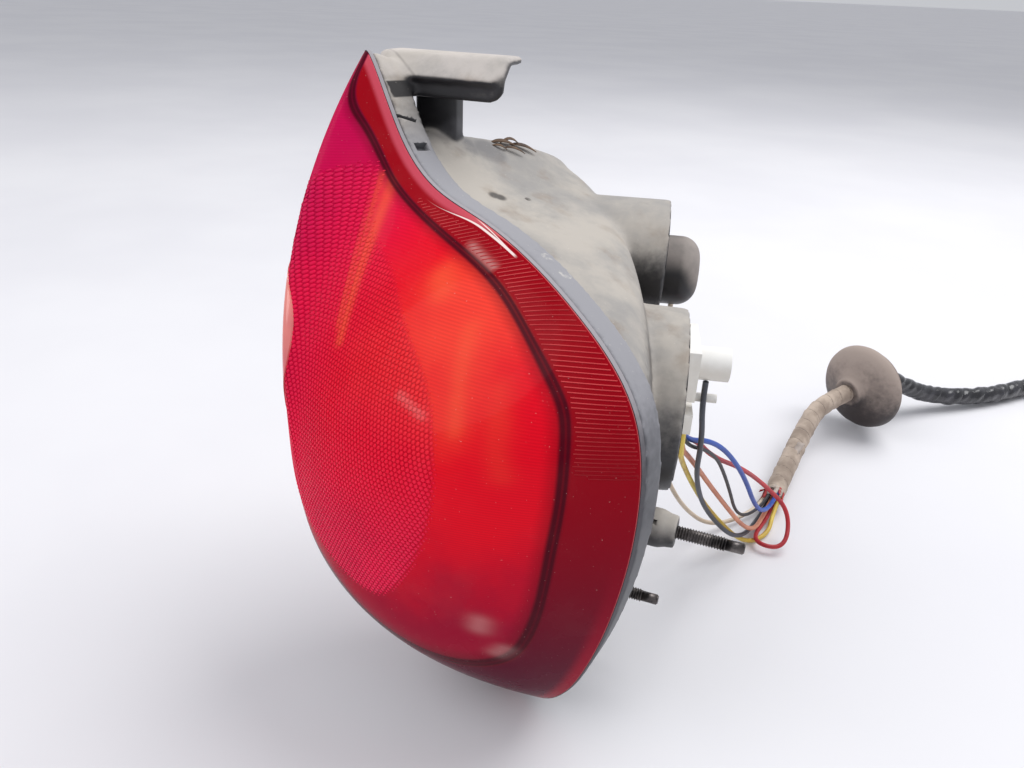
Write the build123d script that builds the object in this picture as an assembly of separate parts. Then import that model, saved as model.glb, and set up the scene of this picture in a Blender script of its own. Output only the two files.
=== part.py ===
from build123d import *
from math import cos, radians, sin, tan
import os

# Tail light cluster for the right rear corner of a car, in millimetres.
# +X points into the car along the fixing studs, +Y to the car's middle, +Z up.
# The origin is the centre of the seat that the upper stud stands on.

# Lens rim: an upright egg outline on a plane that faces back and outwards
RIM_FOOT = (-40.0, -25.0, -73.0)
RIM_TURN = 58.0
RIM_POINTS = [
    (-117.0, 124.0),
    (-84.0, 48.0),
    (-31.0, -4.5),
    (0.0, 0.0),
    (25.0, 37.0),
    (35.0, 74.0),
    (38.5, 112.0),
    (32.5, 138.5),
    (7.5, 158.5),
    (-43.5, 175.0),
    (-92.5, 192.5),
    (-117.5, 219.0),
    (-120.0, 192.0),
]

# Lens dome
LENS_DEPTH = 61.0
LENS_CENTRE = (-58.0, 79.0)
LENS_POWER = 2.25
LENS_WALL = 2.6

# Indicator lens, a tilted oval insert in the dome
INDICATOR_CENTRE = (-94.0, 130.0)
INDICATOR_HALF_WIDTH = 16.5
INDICATOR_HALF_HEIGHT = 29.0
INDICATOR_TILT = 23.0
INDICATOR_RISE = 0.6
INSERT_CLEARANCE = 0.2

# Sealing bead between the lens and the housing
SEAL_HEIGHT = 1.5

# Housing flange and bucket
HOUSING_WALL = 2.4
FLANGE_DEPTH = 12.0
FLANGE_TAPER = 0.965
FLANGE_CENTRE = (-63.0, 125.0)
BUCKET_POINTS = [
    (-111.0, 122.0),
    (-70.0, 51.0),
    (0.5, 11.0),
    (21.0, 44.5),
    (30.0, 82.0),
    (30.5, 116.0),
    (22.0, 138.0),
    (0.5, 152.0),
    (-45.0, 168.0),
    (-86.0, 182.5),
    (-107.0, 192.0),
    (-112.0, 165.0),
]
BUCKET_DEPTH = 75.0
BUCKET_CENTRE = (-103.0, 172.0)
BUCKET_POWER = 1.9

# Collars that take the bulb holders; the place of each is the middle of its open end
COLLAR_TURN = 12.0
MAIN_COLLAR_PLACE = (-10.5, 35.0, 33.5)
MAIN_COLLAR_RADIUS = 34.0
MAIN_COLLAR_DRAFT = 2.0
MAIN_COLLAR_LENGTH = 75.0
INDICATOR_COLLAR_PLACE = (-30.0, 83.0, 72.5)
INDICATOR_COLLAR_RADIUS = 22.5
INDICATOR_COLLAR_LENGTH = 60.0

# Stud pillars and studs
STUD_RADIUS = 2.5
STUD_LENGTH = 23.5
STUD_POINT_LENGTH = 6.5
STUD_POINT_RADIUS = 2.0
STUD_ROOT_RADIUS = 3.2
STUD_SINK = 8.0
STUD_HEAD_RADIUS = 4.0
STUD_HEAD_LENGTH = 2.5
PILLAR_RADIUS = 7.0
PILLAR_TIP_RADIUS = 6.0
PILLAR_TIP_LENGTH = 5.0
UPPER_STUD_SEAT = (0.0, 0.0, 0.0)
LOWER_STUD_SEAT = (-27.0, 10.0, -41.0)
PILLAR_ROOT = -75.0

# Fixing tab on the top
TAB_START = -140.0
TAB_END = -88.0
TAB_FRONT = 40.0
TAB_TOP = 146.0
TAB_APRON_DROP = 8.5
TAB_APRON_RUN = 9.0
TAB_SHELF = 14.0
TAB_WALL = 3.0
TAB_LIP_DROP = 6.5
TAB_LIP_SETBACK = 3.0
TAB_LIP_ROUND = 5.5
TAB_NOTCH = 6.0
TAB_CORNER = [(-117.0, 217.0), (-117.5, 197.0), (-104.0, 192.0), (-105.5, 204.0)]
TAB_CORNER_TOP = -2.0
TAB_CORNER_DEPTH = 8.5
WEB_START = -126.0
WEB_END = -109.0
WEB_WALL = 8.0
WEB_FOOT = 100.0

# Reflectors
REFLECTOR_WALL = 1.6
REFLECTOR_CLEARANCE = 0.4
SKIRT_SCALE = 0.87
SKIRT_CENTRE = (-46.0, 123.0)
INDICATOR_THROAT_SCALE = 0.7
INDICATOR_THROAT = -50.0

# White bulb holder in the main collar, with heights over the collar's middle
HOLDER_CLEARANCE = 0.2
HOLDER_PLATE = 4.5
HOLDER_SEAL_WIDTH = 1.0
HOLDER_PAD_STAND = 4.5
HOLDER_PAD_WIDTH = 28.0
HOLDER_PAD_HEIGHT = 19.0
HOLDER_BOSS_HEIGHT = 16.0
HOLDER_BOSS_RADIUS = 6.2
HOLDER_BOSS_LENGTH = 16.3
HOLDER_PEG_HEIGHT = 2.0
HOLDER_PEG_RADIUS = 1.7
HOLDER_PEG_LENGTH = 13.8
HOLDER_FOOT_HEIGHT = -6.0
HOLDER_FOOT_TALL = 8.0
HOLDER_FOOT_WIDTH = 16.0
HOLDER_FOOT_STAND = 5.5
CONTACT_WIDTH = 4.0
CONTACT_SPACING = 9.0
CONTACT_THICKNESS = 0.8

# Indicator bulb holder and its rubber cap in the upper collar
INDICATOR_HOLDER_PLATE = 6.0
CAP_DROP = 5.5
CAP_RADIUS = 14.0
CAP_LENGTH = 14.0
CAP_ROUND = 8.0

# Bulbs: a 15 mm cap and a glass bulb, each sealed
SOCKET_RADIUS = 9.5
SOCKET_LENGTH = 13.0
BULB_CAP_RADIUS = 7.5
BULB_CAP_LENGTH = 17.0
BULB_GLASS_LENGTH = 36.0
STOP_GLASS_RADIUS = 12.5
INDICATOR_GLASS_RADIUS = 9.5

# Wires, sheath, grommet and cable
WIRE_DIAMETER = 2.2
THIN_WIRE_DIAMETER = 1.6
SHEATH_DIAMETER = 11.6
CABLE_DIAMETER = 12.5
WIRE_LEAD = 14.0
WIRE_CIRCLE = 3.5
WIRE_EXIT = 9.5
SHEATH_ROUTE = [
    (34.5, 152.8, -72.6),
    (40.0, 186.0, -68.0),
    (45.6, 213.7, -60.0),
    (52.3, 236.3, -53.0),
    (67.2, 255.2, -51.0),
]
CABLE_ROUTE = [
    (119.0, 309.0, -53.5),
    (143.0, 322.0, -60.0),
    (167.0, 344.0, -67.5),
    (191.0, 369.5, -72.5),
    (217.0, 393.0, -72.5),
    (240.5, 407.5, -72.5),
]
GREY_ROUTE = [(0.3, 40.0, 15.9), (-0.9, 54.0, -10.6), (4.3, 80.0, -43.8), (21.4, 97.5, -69.0)]
ORANGE_ROUTE = [(-4.6, 52.0, 0.4), (7.6, 80.0, -32.8), (26.4, 107.7, -70.5)]
YELLOW_ROUTE = [
    (-6.4, 46.0, 0.5),
    (-1.8, 64.0, -21.1),
    (5.6, 90.0, -49.6),
    (23.5, 109.3, -77.6),
    (35.1, 122.4, -77.6),
]
BLACK_ROUTE = [(4.6, 56.0, 2.9), (11.2, 78.0, -23.0), (18.8, 104.0, -60.5)]
BLUE_ROUTE = [(4.5, 58.0, 7.0), (16.6, 80.0, -17.4), (27.2, 112.0, -58.5)]
RED_ROUTE = [
    (3.7, 66.0, -6.0),
    (16.3, 94.0, -24.8),
    (28.9, 120.0, -47.5),
    (43.0, 128.0, -64.0),
    (44.0, 109.0, -75.0),
    (26.5, 109.0, -74.5),
]
BEIGE_ROUTE = [(-21.9, 80.0, 11.3), (-19.6, 82.0, -24.1), (-8.6, 96.0, -54.9), (7.5, 114.0, -75.9)]
WIRE_SPACING = 2.8
GROMMET_LENGTH = 30.0
GROMMET_CAP_RADIUS = 27.0
GROMMET_CAP_LENGTH = 13.0
GROMMET_GROOVE_RADIUS = 19.0
GROMMET_GROOVE_LENGTH = 4.0
GROMMET_LIP_RADIUS = 23.0
GROMMET_LIP_LENGTH = 5.0
GROMMET_NECK_RADIUS = 9.0
CABLE_LEAD = 20.0

# Plug on the cable's end
PLUG_LENGTH = 32.0
PLUG_WIDTH = 26.0
PLUG_HEIGHT = 12.4
PLUG_ROUND = 2.0
PLUG_NECK_LENGTH = 8.0
PIN_COLUMNS = 4
PIN_ROWS = 2
PIN_PITCH = 5.0
PIN_CAVITY = 2.6
PIN_SIZE = 2.2
PIN_CAVITY_DEPTH = 16.0
PIN_DEPTH = 12.0
LATCH_LENGTH = 18.0
LATCH_WIDTH = 10.0
LATCH_HEIGHT = 3.0

# Share of the outline at each section of a dome
SCALES = (1.0, 0.95, 0.88, 0.79, 0.68, 0.55, 0.4, 0.24, 0.08)

TURN = radians(RIM_TURN)
RIM = Plane(origin=RIM_FOOT, x_dir=(sin(TURN), -cos(TURN), 0), z_dir=(-cos(TURN), -sin(TURN), 0))
COLLAR_ALONG = (cos(radians(COLLAR_TURN)), sin(radians(COLLAR_TURN)), 0)
MAIN_COLLAR = Plane(origin=MAIN_COLLAR_PLACE, x_dir=COLLAR_ALONG, z_dir=(0, 0, 1))
INDICATOR_COLLAR = Plane(origin=INDICATOR_COLLAR_PLACE, x_dir=COLLAR_ALONG, z_dir=(0, 0, 1))
MIDDLE = (0, 0)


def moved_in(points, distance):
    """Outline points moved square to the outline, inwards if positive."""
    moved = []
    for before, here, after in zip(points[-1:] + points[:-1], points, points[1:] + points[:1]):
        along = (Vector(*after) - Vector(*before)).normalized()
        moved.append((here[0] - along.Y * distance, here[1] + along.X * distance))
    return moved


def outline(points, centre, scale, height):
    """Closed smooth outline, scaled about a centre, on a plane parallel to the rim."""
    placed = []
    for u, v in points:
        placed.append((centre[0] + (u - centre[0]) * scale, centre[1] + (v - centre[1]) * scale))
    return RIM.offset(height) * make_face(Spline(*placed, periodic=True))


def dome(points, centre, base, depth, power):
    """Solid bulge over an outline; a negative depth bulges into the car."""
    sections = []
    for scale in SCALES:
        height = base + depth * (1 - scale ** power)
        sections.append(outline(points, centre, scale, height))
    return loft(sections)


def lens_dome(inset):
    """Solid of the lens dome, or of what lies inset within it."""
    return dome(moved_in(RIM_POINTS, inset), LENS_CENTRE, 0, LENS_DEPTH - inset, LENS_POWER)


def indicator_oval(inset, height, scale=1):
    """Oval of the indicator insert on a plane parallel to the rim."""
    oval = Ellipse((INDICATOR_HALF_WIDTH - inset) * scale, (INDICATOR_HALF_HEIGHT - inset) * scale)
    return RIM.offset(height) * Pos(*INDICATOR_CENTRE) * Rot(0, 0, INDICATOR_TILT) * oval


def indicator_column(inset):
    """Oval column through the lens, square to the rim."""
    return extrude(indicator_oval(inset, SEAL_HEIGHT), 2 * LENS_DEPTH)


def bar(axis, radius, start, end, end_radius=None):
    """Round bar along X; a second radius makes it a cone."""
    place = Plane(origin=((start + end) / 2, axis[0], axis[1]), z_dir=(1, 0, 0))
    if end_radius is None:
        return place * Cylinder(radius, end - start)
    return place * Cone(radius, end_radius, end - start)


def make_lens():
    """Red lens with an oval hole for the indicator insert."""
    return lens_dome(0) - lens_dome(LENS_WALL) - indicator_column(0)


def make_indicator_lens():
    """Oval insert that closes the hole in the lens and stands just over it."""
    plug = lens_dome(-INDICATOR_RISE) & indicator_column(INSERT_CLEARANCE)
    hollow = lens_dome(LENS_WALL - INDICATOR_RISE) & indicator_column(INSERT_CLEARANCE + LENS_WALL)
    return plug - hollow - lens_dome(LENS_WALL)


def make_lens_seal():
    """Bead between the lens rim and the housing flange."""
    outer = outline(RIM_POINTS, LENS_CENTRE, 1, -SEAL_HEIGHT)
    inner = outline(moved_in(RIM_POINTS, LENS_WALL), LENS_CENTRE, 1, -SEAL_HEIGHT)
    return extrude(outer - inner, SEAL_HEIGHT)


def flange_block(inset, low):
    """Tapered block under the lens rim, down to a height."""
    points = moved_in(RIM_POINTS, inset)
    taper = 1 - (1 - FLANGE_TAPER) * (low + SEAL_HEIGHT) / (SEAL_HEIGHT - FLANGE_DEPTH)
    top = outline(points, FLANGE_CENTRE, 1, -SEAL_HEIGHT)
    return loft([top, outline(points, FLANGE_CENTRE, taper, low)])


def bucket(inset):
    """Solid of the housing's bucket, or of what lies inset within it."""
    points = moved_in(BUCKET_POINTS, inset)
    return dome(points, BUCKET_CENTRE, -FLANGE_DEPTH, inset - BUCKET_DEPTH, BUCKET_POWER)


def bucket_mouth(inset, low, depth):
    """Straight block over the bucket's outline, from a height upwards."""
    return extrude(outline(moved_in(BUCKET_POINTS, inset), BUCKET_CENTRE, 1, low), depth)


def tab():
    """Top fixing tab: sloping apron with a shelf, a turned-down lip and a web to the bucket."""
    foot = TAB_TOP - TAB_APRON_DROP
    crest = TAB_FRONT + TAB_APRON_RUN
    length = TAB_END - TAB_START
    profile = Polyline(
        (TAB_FRONT, foot),
        (crest, TAB_TOP),
        (crest + TAB_SHELF, TAB_TOP),
        (crest + TAB_SHELF, TAB_TOP - TAB_WALL),
        (crest + TAB_WALL, TAB_TOP - TAB_WALL),
        (TAB_FRONT + TAB_LIP_SETBACK + TAB_WALL, foot),
        close=True,
    )
    section = Plane(origin=(TAB_START, 0, 0), x_dir=(0, 1, 0), z_dir=(1, 0, 0)) * make_face(profile)
    strip = extrude(section, length)
    strip -= Pos(TAB_END, TAB_FRONT, foot) * Box(TAB_NOTCH, TAB_NOTCH, 2 * TAB_APRON_DROP)
    lip = Box(length, TAB_WALL, TAB_LIP_DROP + TAB_WALL / 2)
    lip = fillet(lip.edges().filter_by(Axis.Y).group_by(Axis.Z)[0].sort_by(Axis.X)[-1:], TAB_LIP_ROUND)
    lip_middle = foot + TAB_WALL / 4 - TAB_LIP_DROP / 2
    lip = Pos((TAB_START + TAB_END) / 2, TAB_FRONT + TAB_LIP_SETBACK + TAB_WALL / 2, lip_middle) * lip
    web_height = TAB_TOP - TAB_WALL - WEB_FOOT
    web_place = Pos((WEB_START + WEB_END) / 2, crest + WEB_WALL / 2, WEB_FOOT + web_height / 2)
    return strip + lip + web_place * Box(WEB_END - WEB_START, WEB_WALL, web_height)


def tab_corner():
    """Full corner of the flange where the tab meets the lens rim."""
    corner = RIM.offset(TAB_CORNER_TOP - TAB_CORNER_DEPTH) * make_face(Polyline(*TAB_CORNER, close=True))
    return extrude(corner, TAB_CORNER_DEPTH)


def pillar(seat):
    """Round pillar under a stud, with a narrower tip."""
    axis = (seat[1], seat[2])
    root = bar(axis, PILLAR_RADIUS, PILLAR_ROOT, seat[0] - PILLAR_TIP_LENGTH)
    return root + bar(axis, PILLAR_TIP_RADIUS, seat[0] - PILLAR_TIP_LENGTH, seat[0])


def stud(seat):
    """Stud with a moulded-in root and head, a threaded part and a plain point."""
    axis = (seat[1], seat[2])
    tip = seat[0] + STUD_LENGTH
    sunk = seat[0] - STUD_SINK
    head = bar(axis, STUD_HEAD_RADIUS, sunk - STUD_HEAD_LENGTH, sunk)
    root = bar(axis, STUD_ROOT_RADIUS, sunk, seat[0])
    shank = bar(axis, STUD_RADIUS, seat[0], tip - STUD_POINT_LENGTH)
    return head + root + shank + bar(axis, STUD_POINT_RADIUS, tip - STUD_POINT_LENGTH, tip)


def stud_room(seat):
    """Round space that a reflector leaves for a stud's head."""
    low = seat[0] - STUD_SINK - STUD_HEAD_LENGTH - REFLECTOR_CLEARANCE
    return bar((seat[1], seat[2]), STUD_HEAD_RADIUS + REFLECTOR_CLEARANCE, low, seat[0])


def behind_flange(shape):
    """What of a shape lies behind the flange floor."""
    half = 4 * LENS_DEPTH
    return shape & RIM.offset(-FLANGE_DEPTH - half / 2) * Box(4 * half, 4 * half, half)


def make_studs():
    return Compound([stud(UPPER_STUD_SEAT), stud(LOWER_STUD_SEAT)])


def main_bore_radius():
    return MAIN_COLLAR_RADIUS - HOUSING_WALL


def indicator_bore_radius():
    return INDICATOR_COLLAR_RADIUS - HOUSING_WALL


def make_housing():
    """Flange, bucket, collars, pillars and tab, moulded in one piece."""
    floor = HOUSING_WALL - FLANGE_DEPTH
    body = flange_block(0, -FLANGE_DEPTH) + bucket(0)
    main_root = MAIN_COLLAR_RADIUS + MAIN_COLLAR_DRAFT
    body += behind_flange(MAIN_COLLAR * bar(MIDDLE, main_root, -MAIN_COLLAR_LENGTH, 0, MAIN_COLLAR_RADIUS))
    upper_collar = bar(MIDDLE, INDICATOR_COLLAR_RADIUS, -INDICATOR_COLLAR_LENGTH, 0)
    body += behind_flange(INDICATOR_COLLAR * upper_collar)
    body += behind_flange(pillar(UPPER_STUD_SEAT))
    body += behind_flange(pillar(LOWER_STUD_SEAT))
    body += tab() + tab_corner()
    body -= flange_block(HOUSING_WALL, floor)
    body -= bucket(HOUSING_WALL)
    body -= bucket_mouth(HOUSING_WALL, -FLANGE_DEPTH, HOUSING_WALL)
    body -= MAIN_COLLAR * bar(MIDDLE, main_bore_radius(), -MAIN_COLLAR_LENGTH, 0)
    body -= INDICATOR_COLLAR * bar(MIDDLE, indicator_bore_radius(), -INDICATOR_COLLAR_LENGTH, 0)
    body -= make_studs()
    return body


def indicator_funnel(inset):
    """Solid oval funnel from the indicator lens back to its throat."""
    edge = INSERT_CLEARANCE + LENS_WALL + REFLECTOR_CLEARANCE + inset
    mouth = indicator_oval(edge, LENS_DEPTH)
    return loft([mouth, indicator_oval(edge, INDICATOR_THROAT, INDICATOR_THROAT_SCALE)])


def lamp_room():
    """Space inside the lens and the housing that a reflector may fill."""
    lens_inset = LENS_WALL + REFLECTOR_CLEARANCE
    inset = HOUSING_WALL + REFLECTOR_CLEARANCE
    room = lens_dome(lens_inset) + flange_block(inset, HOUSING_WALL - FLANGE_DEPTH)
    room += extrude(outline(moved_in(RIM_POINTS, lens_inset), LENS_CENTRE, 1, 0), -SEAL_HEIGHT)
    return room + bucket_mouth(inset, -FLANGE_DEPTH, HOUSING_WALL) + bucket(inset)


def make_indicator_reflector():
    """Open funnel that keeps the indicator's light apart."""
    return (indicator_funnel(0) - indicator_funnel(REFLECTOR_WALL)) & lamp_room()


def make_main_reflector():
    """Liner of the bucket with a skirt that stands up to the lens."""
    low = HOUSING_WALL - FLANGE_DEPTH
    outer = HOUSING_WALL + REFLECTOR_CLEARANCE
    inner = outer + REFLECTOR_WALL
    body = bucket(outer) - bucket(inner)
    mouth = bucket_mouth(outer, -FLANGE_DEPTH, HOUSING_WALL)
    body += mouth - bucket_mouth(inner, -FLANGE_DEPTH, HOUSING_WALL)
    body += bucket_mouth(outer, low, REFLECTOR_WALL)
    body += extrude(outline(RIM_POINTS, SKIRT_CENTRE, SKIRT_SCALE, low), LENS_DEPTH)
    skirt_inside = outline(moved_in(RIM_POINTS, REFLECTOR_WALL), SKIRT_CENTRE, SKIRT_SCALE, low)
    body -= extrude(skirt_inside, LENS_DEPTH)
    body -= indicator_funnel(-REFLECTOR_CLEARANCE)
    body -= MAIN_COLLAR * bar(MIDDLE, main_bore_radius(), -MAIN_COLLAR_LENGTH * 0.6, 0)
    body -= INDICATOR_COLLAR * bar(MIDDLE, indicator_bore_radius(), -INDICATOR_COLLAR_LENGTH, 0)
    body -= stud_room(UPPER_STUD_SEAT) + stud_room(LOWER_STUD_SEAT)
    return body & lamp_room()


def bulb(axis, start, glass_radius):
    """Sealed bulb along a collar: metal cap and rounded glass."""
    neck = start - BULB_CAP_LENGTH
    glass = bar(axis, glass_radius, neck - BULB_GLASS_LENGTH, neck)
    glass = fillet(glass.edges().group_by(Axis.X)[0], glass_radius * 0.9)
    return bar(axis, BULB_CAP_RADIUS, neck, start) + glass


def bulb_socket(axis, start):
    """Tube that grips a bulb's cap."""
    tube = bar(axis, SOCKET_RADIUS, start - SOCKET_LENGTH, start)
    return tube - bar(axis, BULB_CAP_RADIUS + HOLDER_CLEARANCE, start - SOCKET_LENGTH, start)


def holder_block(width, tall, stand, height):
    """Block on the white holder's outer face, at a height."""
    return Pos(stand / 2, 0, height) * Box(stand, width, tall)


def holder_radius():
    return main_bore_radius() - HOLDER_SEAL_WIDTH


def boss_axis():
    return (0, HOLDER_BOSS_HEIGHT)


def make_bulb_holder():
    """White holder: round plate, pad with boss, peg, foot and bulb socket."""
    body = bar(MIDDLE, holder_radius(), -HOLDER_PLATE, 0)
    body += holder_block(HOLDER_PAD_WIDTH, HOLDER_PAD_HEIGHT, HOLDER_PAD_STAND, HOLDER_BOSS_HEIGHT)
    body += bar(boss_axis(), HOLDER_BOSS_RADIUS, 0, HOLDER_BOSS_LENGTH)
    body += bar((0, HOLDER_PEG_HEIGHT), HOLDER_PEG_RADIUS, 0, HOLDER_PEG_LENGTH)
    body += holder_block(HOLDER_FOOT_WIDTH, HOLDER_FOOT_TALL, HOLDER_FOOT_STAND, HOLDER_FOOT_HEIGHT)
    return MAIN_COLLAR * (body + bulb_socket(boss_axis(), -HOLDER_PLATE))


def make_holder_seal():
    """Rubber ring between the white holder and its collar."""
    ring = bar(MIDDLE, main_bore_radius(), -HOLDER_PLATE, 0)
    return MAIN_COLLAR * (ring - bar(MIDDLE, holder_radius(), -HOLDER_PLATE, 0))


def make_holder_contacts():
    """Two brass strips beside the peg, from the pad to the foot."""
    low = HOLDER_FOOT_HEIGHT + HOLDER_FOOT_TALL / 2
    high = HOLDER_BOSS_HEIGHT - HOLDER_PAD_HEIGHT / 2
    strips = []
    for side in (-1, 1):
        place = Pos(CONTACT_THICKNESS / 2, side * CONTACT_SPACING / 2, (low + high) / 2)
        strips.append(MAIN_COLLAR * place * Box(CONTACT_THICKNESS, CONTACT_WIDTH, high - low))
    return Compound(strips)


def cap_axis():
    return (0, -CAP_DROP)


def make_indicator_holder():
    """Dark round holder with a bulb socket."""
    radius = indicator_bore_radius() - HOLDER_CLEARANCE
    plate = bar(MIDDLE, radius, -INDICATOR_HOLDER_PLATE, 0)
    return INDICATOR_COLLAR * (plate + bulb_socket(cap_axis(), -INDICATOR_HOLDER_PLATE))


def make_holder_cap():
    """Rounded rubber cap over the indicator holder's terminals."""
    body = bar(cap_axis(), CAP_RADIUS, 0, CAP_LENGTH)
    return INDICATOR_COLLAR * fillet(body.edges().group_by(Axis.X)[-1], CAP_ROUND)


def route_radii(points):
    """Bend radius at each inner corner of a route."""
    radii = []
    for before, corner, after in zip(points, points[1:], points[2:]):
        first = Vector(*corner) - Vector(*before)
        second = Vector(*after) - Vector(*corner)
        turn = radians(first.get_angle(second))
        radii.append(0.45 * min(first.length, second.length) / tan(turn / 2))
    return radii


def cord(name, points, diameter):
    """Plain tube along straight runs and tangent bends."""
    radii = route_radii(points)
    path = FilletPolyline(*points, radius=radii)
    tube = sweep(Plane(origin=path @ 0, z_dir=path % 0) * Circle(diameter / 2), path=path)
    section = 3.14159 * diameter ** 2 / 4
    print(name, "length", round(path.length), "bends", [round(radius) for radius in radii],
          "fill", round(tube.volume / (section * path.length), 3))
    return tube


def sheath_start():
    """Plane on the sheath's mouth, facing along the sheath."""
    first = Vector(*SHEATH_ROUTE[0])
    return Plane(origin=first, x_dir=(1, 0, 0), z_dir=Vector(*SHEATH_ROUTE[1]) - first)


def wire_route(exit_points, points, column, row):
    """Route of a wire from its exit to one place on the sheath's mouth."""
    mouth = sheath_start()
    spot = (column * WIRE_CIRCLE / 2, row * WIRE_CIRCLE * cos(radians(30)))
    lead = mouth.from_local_coords((spot[0], spot[1], -WIRE_LEAD))
    end = mouth.from_local_coords((spot[0], spot[1], 0))
    return exit_points + points + [tuple(lead), tuple(end)]


def exit_below(collar, x, y, z):
    """Start of a wire that leaves a holder straight down, from a place on its collar."""
    start = collar.from_local_coords((x, y, z))
    return [tuple(start), (start.X, start.Y, start.Z - WIRE_EXIT)]


def exit_forward(collar, x, y, z):
    """Start of a wire that leaves a holder along its collar."""
    start = collar.from_local_coords((x, y, z))
    return [tuple(start), tuple(collar.from_local_coords((x + WIRE_EXIT, y, z)))]


def exit_foot(place):
    """Start of a wire under the white holder's foot, counted in wire spacings from its middle."""
    bottom = HOLDER_FOOT_HEIGHT - HOLDER_FOOT_TALL / 2
    return exit_below(MAIN_COLLAR, HOLDER_FOOT_STAND * 0.6, place * WIRE_SPACING, bottom)


def wire_routes():
    """Name, route and diameter of each wire."""
    boss_side = HOLDER_PEG_RADIUS + WIRE_DIAMETER
    boss_drop = (HOLDER_BOSS_RADIUS ** 2 - (boss_side - WIRE_DIAMETER / 2) ** 2) ** 0.5
    grey = exit_below(MAIN_COLLAR, HOLDER_BOSS_LENGTH * 0.52, -boss_side, HOLDER_BOSS_HEIGHT - boss_drop)
    red = exit_forward(MAIN_COLLAR, 0, 12, -22)
    beige = exit_below(INDICATOR_COLLAR, 5, 0, cap_axis()[1] - CAP_RADIUS)
    yield "wire_grey", wire_route(grey, GREY_ROUTE, -1, 1), WIRE_DIAMETER
    yield "wire_orange", wire_route(exit_foot(-0.8), ORANGE_ROUTE, 0, 0), WIRE_DIAMETER
    yield "wire_blue", wire_route(exit_foot(1.2), BLUE_ROUTE, 1, -1), WIRE_DIAMETER
    yield "wire_red", wire_route(red, RED_ROUTE, 1, 1), WIRE_DIAMETER
    yield "wire_yellow", wire_route(exit_foot(-2), YELLOW_ROUTE, 2, 0), WIRE_DIAMETER
    yield "wire_black", wire_route(exit_foot(0.2), BLACK_ROUTE, -1, -1), THIN_WIRE_DIAMETER
    yield "wire_beige", wire_route(beige, BEIGE_ROUTE, -2, 0), WIRE_DIAMETER


def grommet_plane():
    """Plane on the sheath's end, facing along the grommet."""
    end = Vector(*SHEATH_ROUTE[-1])
    return Plane(origin=end, z_dir=end - Vector(*SHEATH_ROUTE[-2]))


def make_grommet():
    """Rubber grommet: neck, wide cap, groove for a panel, rear lip and neck."""
    cap_start = (GROMMET_LENGTH - GROMMET_CAP_LENGTH - GROMMET_GROOVE_LENGTH - GROMMET_LIP_LENGTH) / 2
    cap_end = cap_start + GROMMET_CAP_LENGTH
    groove_end = cap_end + GROMMET_GROOVE_LENGTH
    lip_end = groove_end + GROMMET_LIP_LENGTH
    profile = Polyline(
        (0, 0),
        (GROMMET_NECK_RADIUS, 0),
        (GROMMET_NECK_RADIUS, cap_start),
        (GROMMET_CAP_RADIUS * 0.8, cap_start + GROMMET_CAP_LENGTH * 0.35),
        (GROMMET_CAP_RADIUS, cap_start + GROMMET_CAP_LENGTH * 0.8),
        (GROMMET_CAP_RADIUS, cap_end),
        (GROMMET_GROOVE_RADIUS, cap_end),
        (GROMMET_GROOVE_RADIUS, groove_end),
        (GROMMET_LIP_RADIUS, groove_end),
        (GROMMET_LIP_RADIUS * 0.85, lip_end),
        (GROMMET_NECK_RADIUS, lip_end),
        (GROMMET_NECK_RADIUS, GROMMET_LENGTH),
        (0, GROMMET_LENGTH),
        close=True,
    )
    body = revolve(Plane.XZ * make_face(profile), Axis.Z)
    return grommet_plane() * body


def cable_route():
    """Route of the cable from the grommet's end."""
    start = grommet_plane().from_local_coords((0, 0, GROMMET_LENGTH))
    lead = grommet_plane().from_local_coords((0, 0, GROMMET_LENGTH + CABLE_LEAD))
    return [tuple(start), tuple(lead)] + CABLE_ROUTE


def plug_plane():
    """Plane on the cable's end, facing along the plug, with its flat side up."""
    end = Vector(*CABLE_ROUTE[-1])
    along = end - Vector(*CABLE_ROUTE[-2])
    return Plane(origin=end, x_dir=(-along.Y, along.X, 0), z_dir=along)


def pin_places():
    """Middles of the pin cavities across the plug's face."""
    for column in range(PIN_COLUMNS):
        for row in range(PIN_ROWS):
            yield (column - (PIN_COLUMNS - 1) / 2) * PIN_PITCH, (row - (PIN_ROWS - 1) / 2) * PIN_PITCH


def make_plug_body():
    """Plug body with a round neck and square pin cavities."""
    end = PLUG_NECK_LENGTH + PLUG_LENGTH
    box = Pos(0, 0, PLUG_NECK_LENGTH + PLUG_LENGTH / 2) * Box(PLUG_WIDTH, PLUG_HEIGHT, PLUG_LENGTH)
    box = fillet(box.edges().filter_by(Axis.Z), PLUG_ROUND)
    box += Pos(0, 0, PLUG_NECK_LENGTH / 2) * Cylinder(CABLE_DIAMETER / 2, PLUG_NECK_LENGTH)
    for x, y in pin_places():
        box -= Pos(x, y, end - PIN_CAVITY_DEPTH / 2) * Box(PIN_CAVITY, PIN_CAVITY, PIN_CAVITY_DEPTH)
    return plug_plane() * box


def make_plug_pins():
    """Metal sleeves at the bottom of the plug's cavities."""
    bottom = PLUG_NECK_LENGTH + PLUG_LENGTH - PIN_CAVITY_DEPTH
    pins = []
    for x, y in pin_places():
        pins.append(plug_plane() * Pos(x, y, bottom + PIN_DEPTH / 2) * Box(PIN_SIZE, PIN_SIZE, PIN_DEPTH))
    return Compound(pins)


def make_plug_latch():
    """Locking slide on the plug's flat side."""
    place = Pos(0, (PLUG_HEIGHT + LATCH_HEIGHT) / 2, PLUG_NECK_LENGTH + PLUG_LENGTH - LATCH_LENGTH / 2)
    return plug_plane() * place * Box(LATCH_WIDTH, LATCH_HEIGHT, LATCH_LENGTH)


def write(name, shape):
    solids = shape.solids()
    print(name, round(shape.volume), len(solids), all(solid.is_valid for solid in solids))
    export_step(shape, "parts/" + name + ".step")


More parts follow.
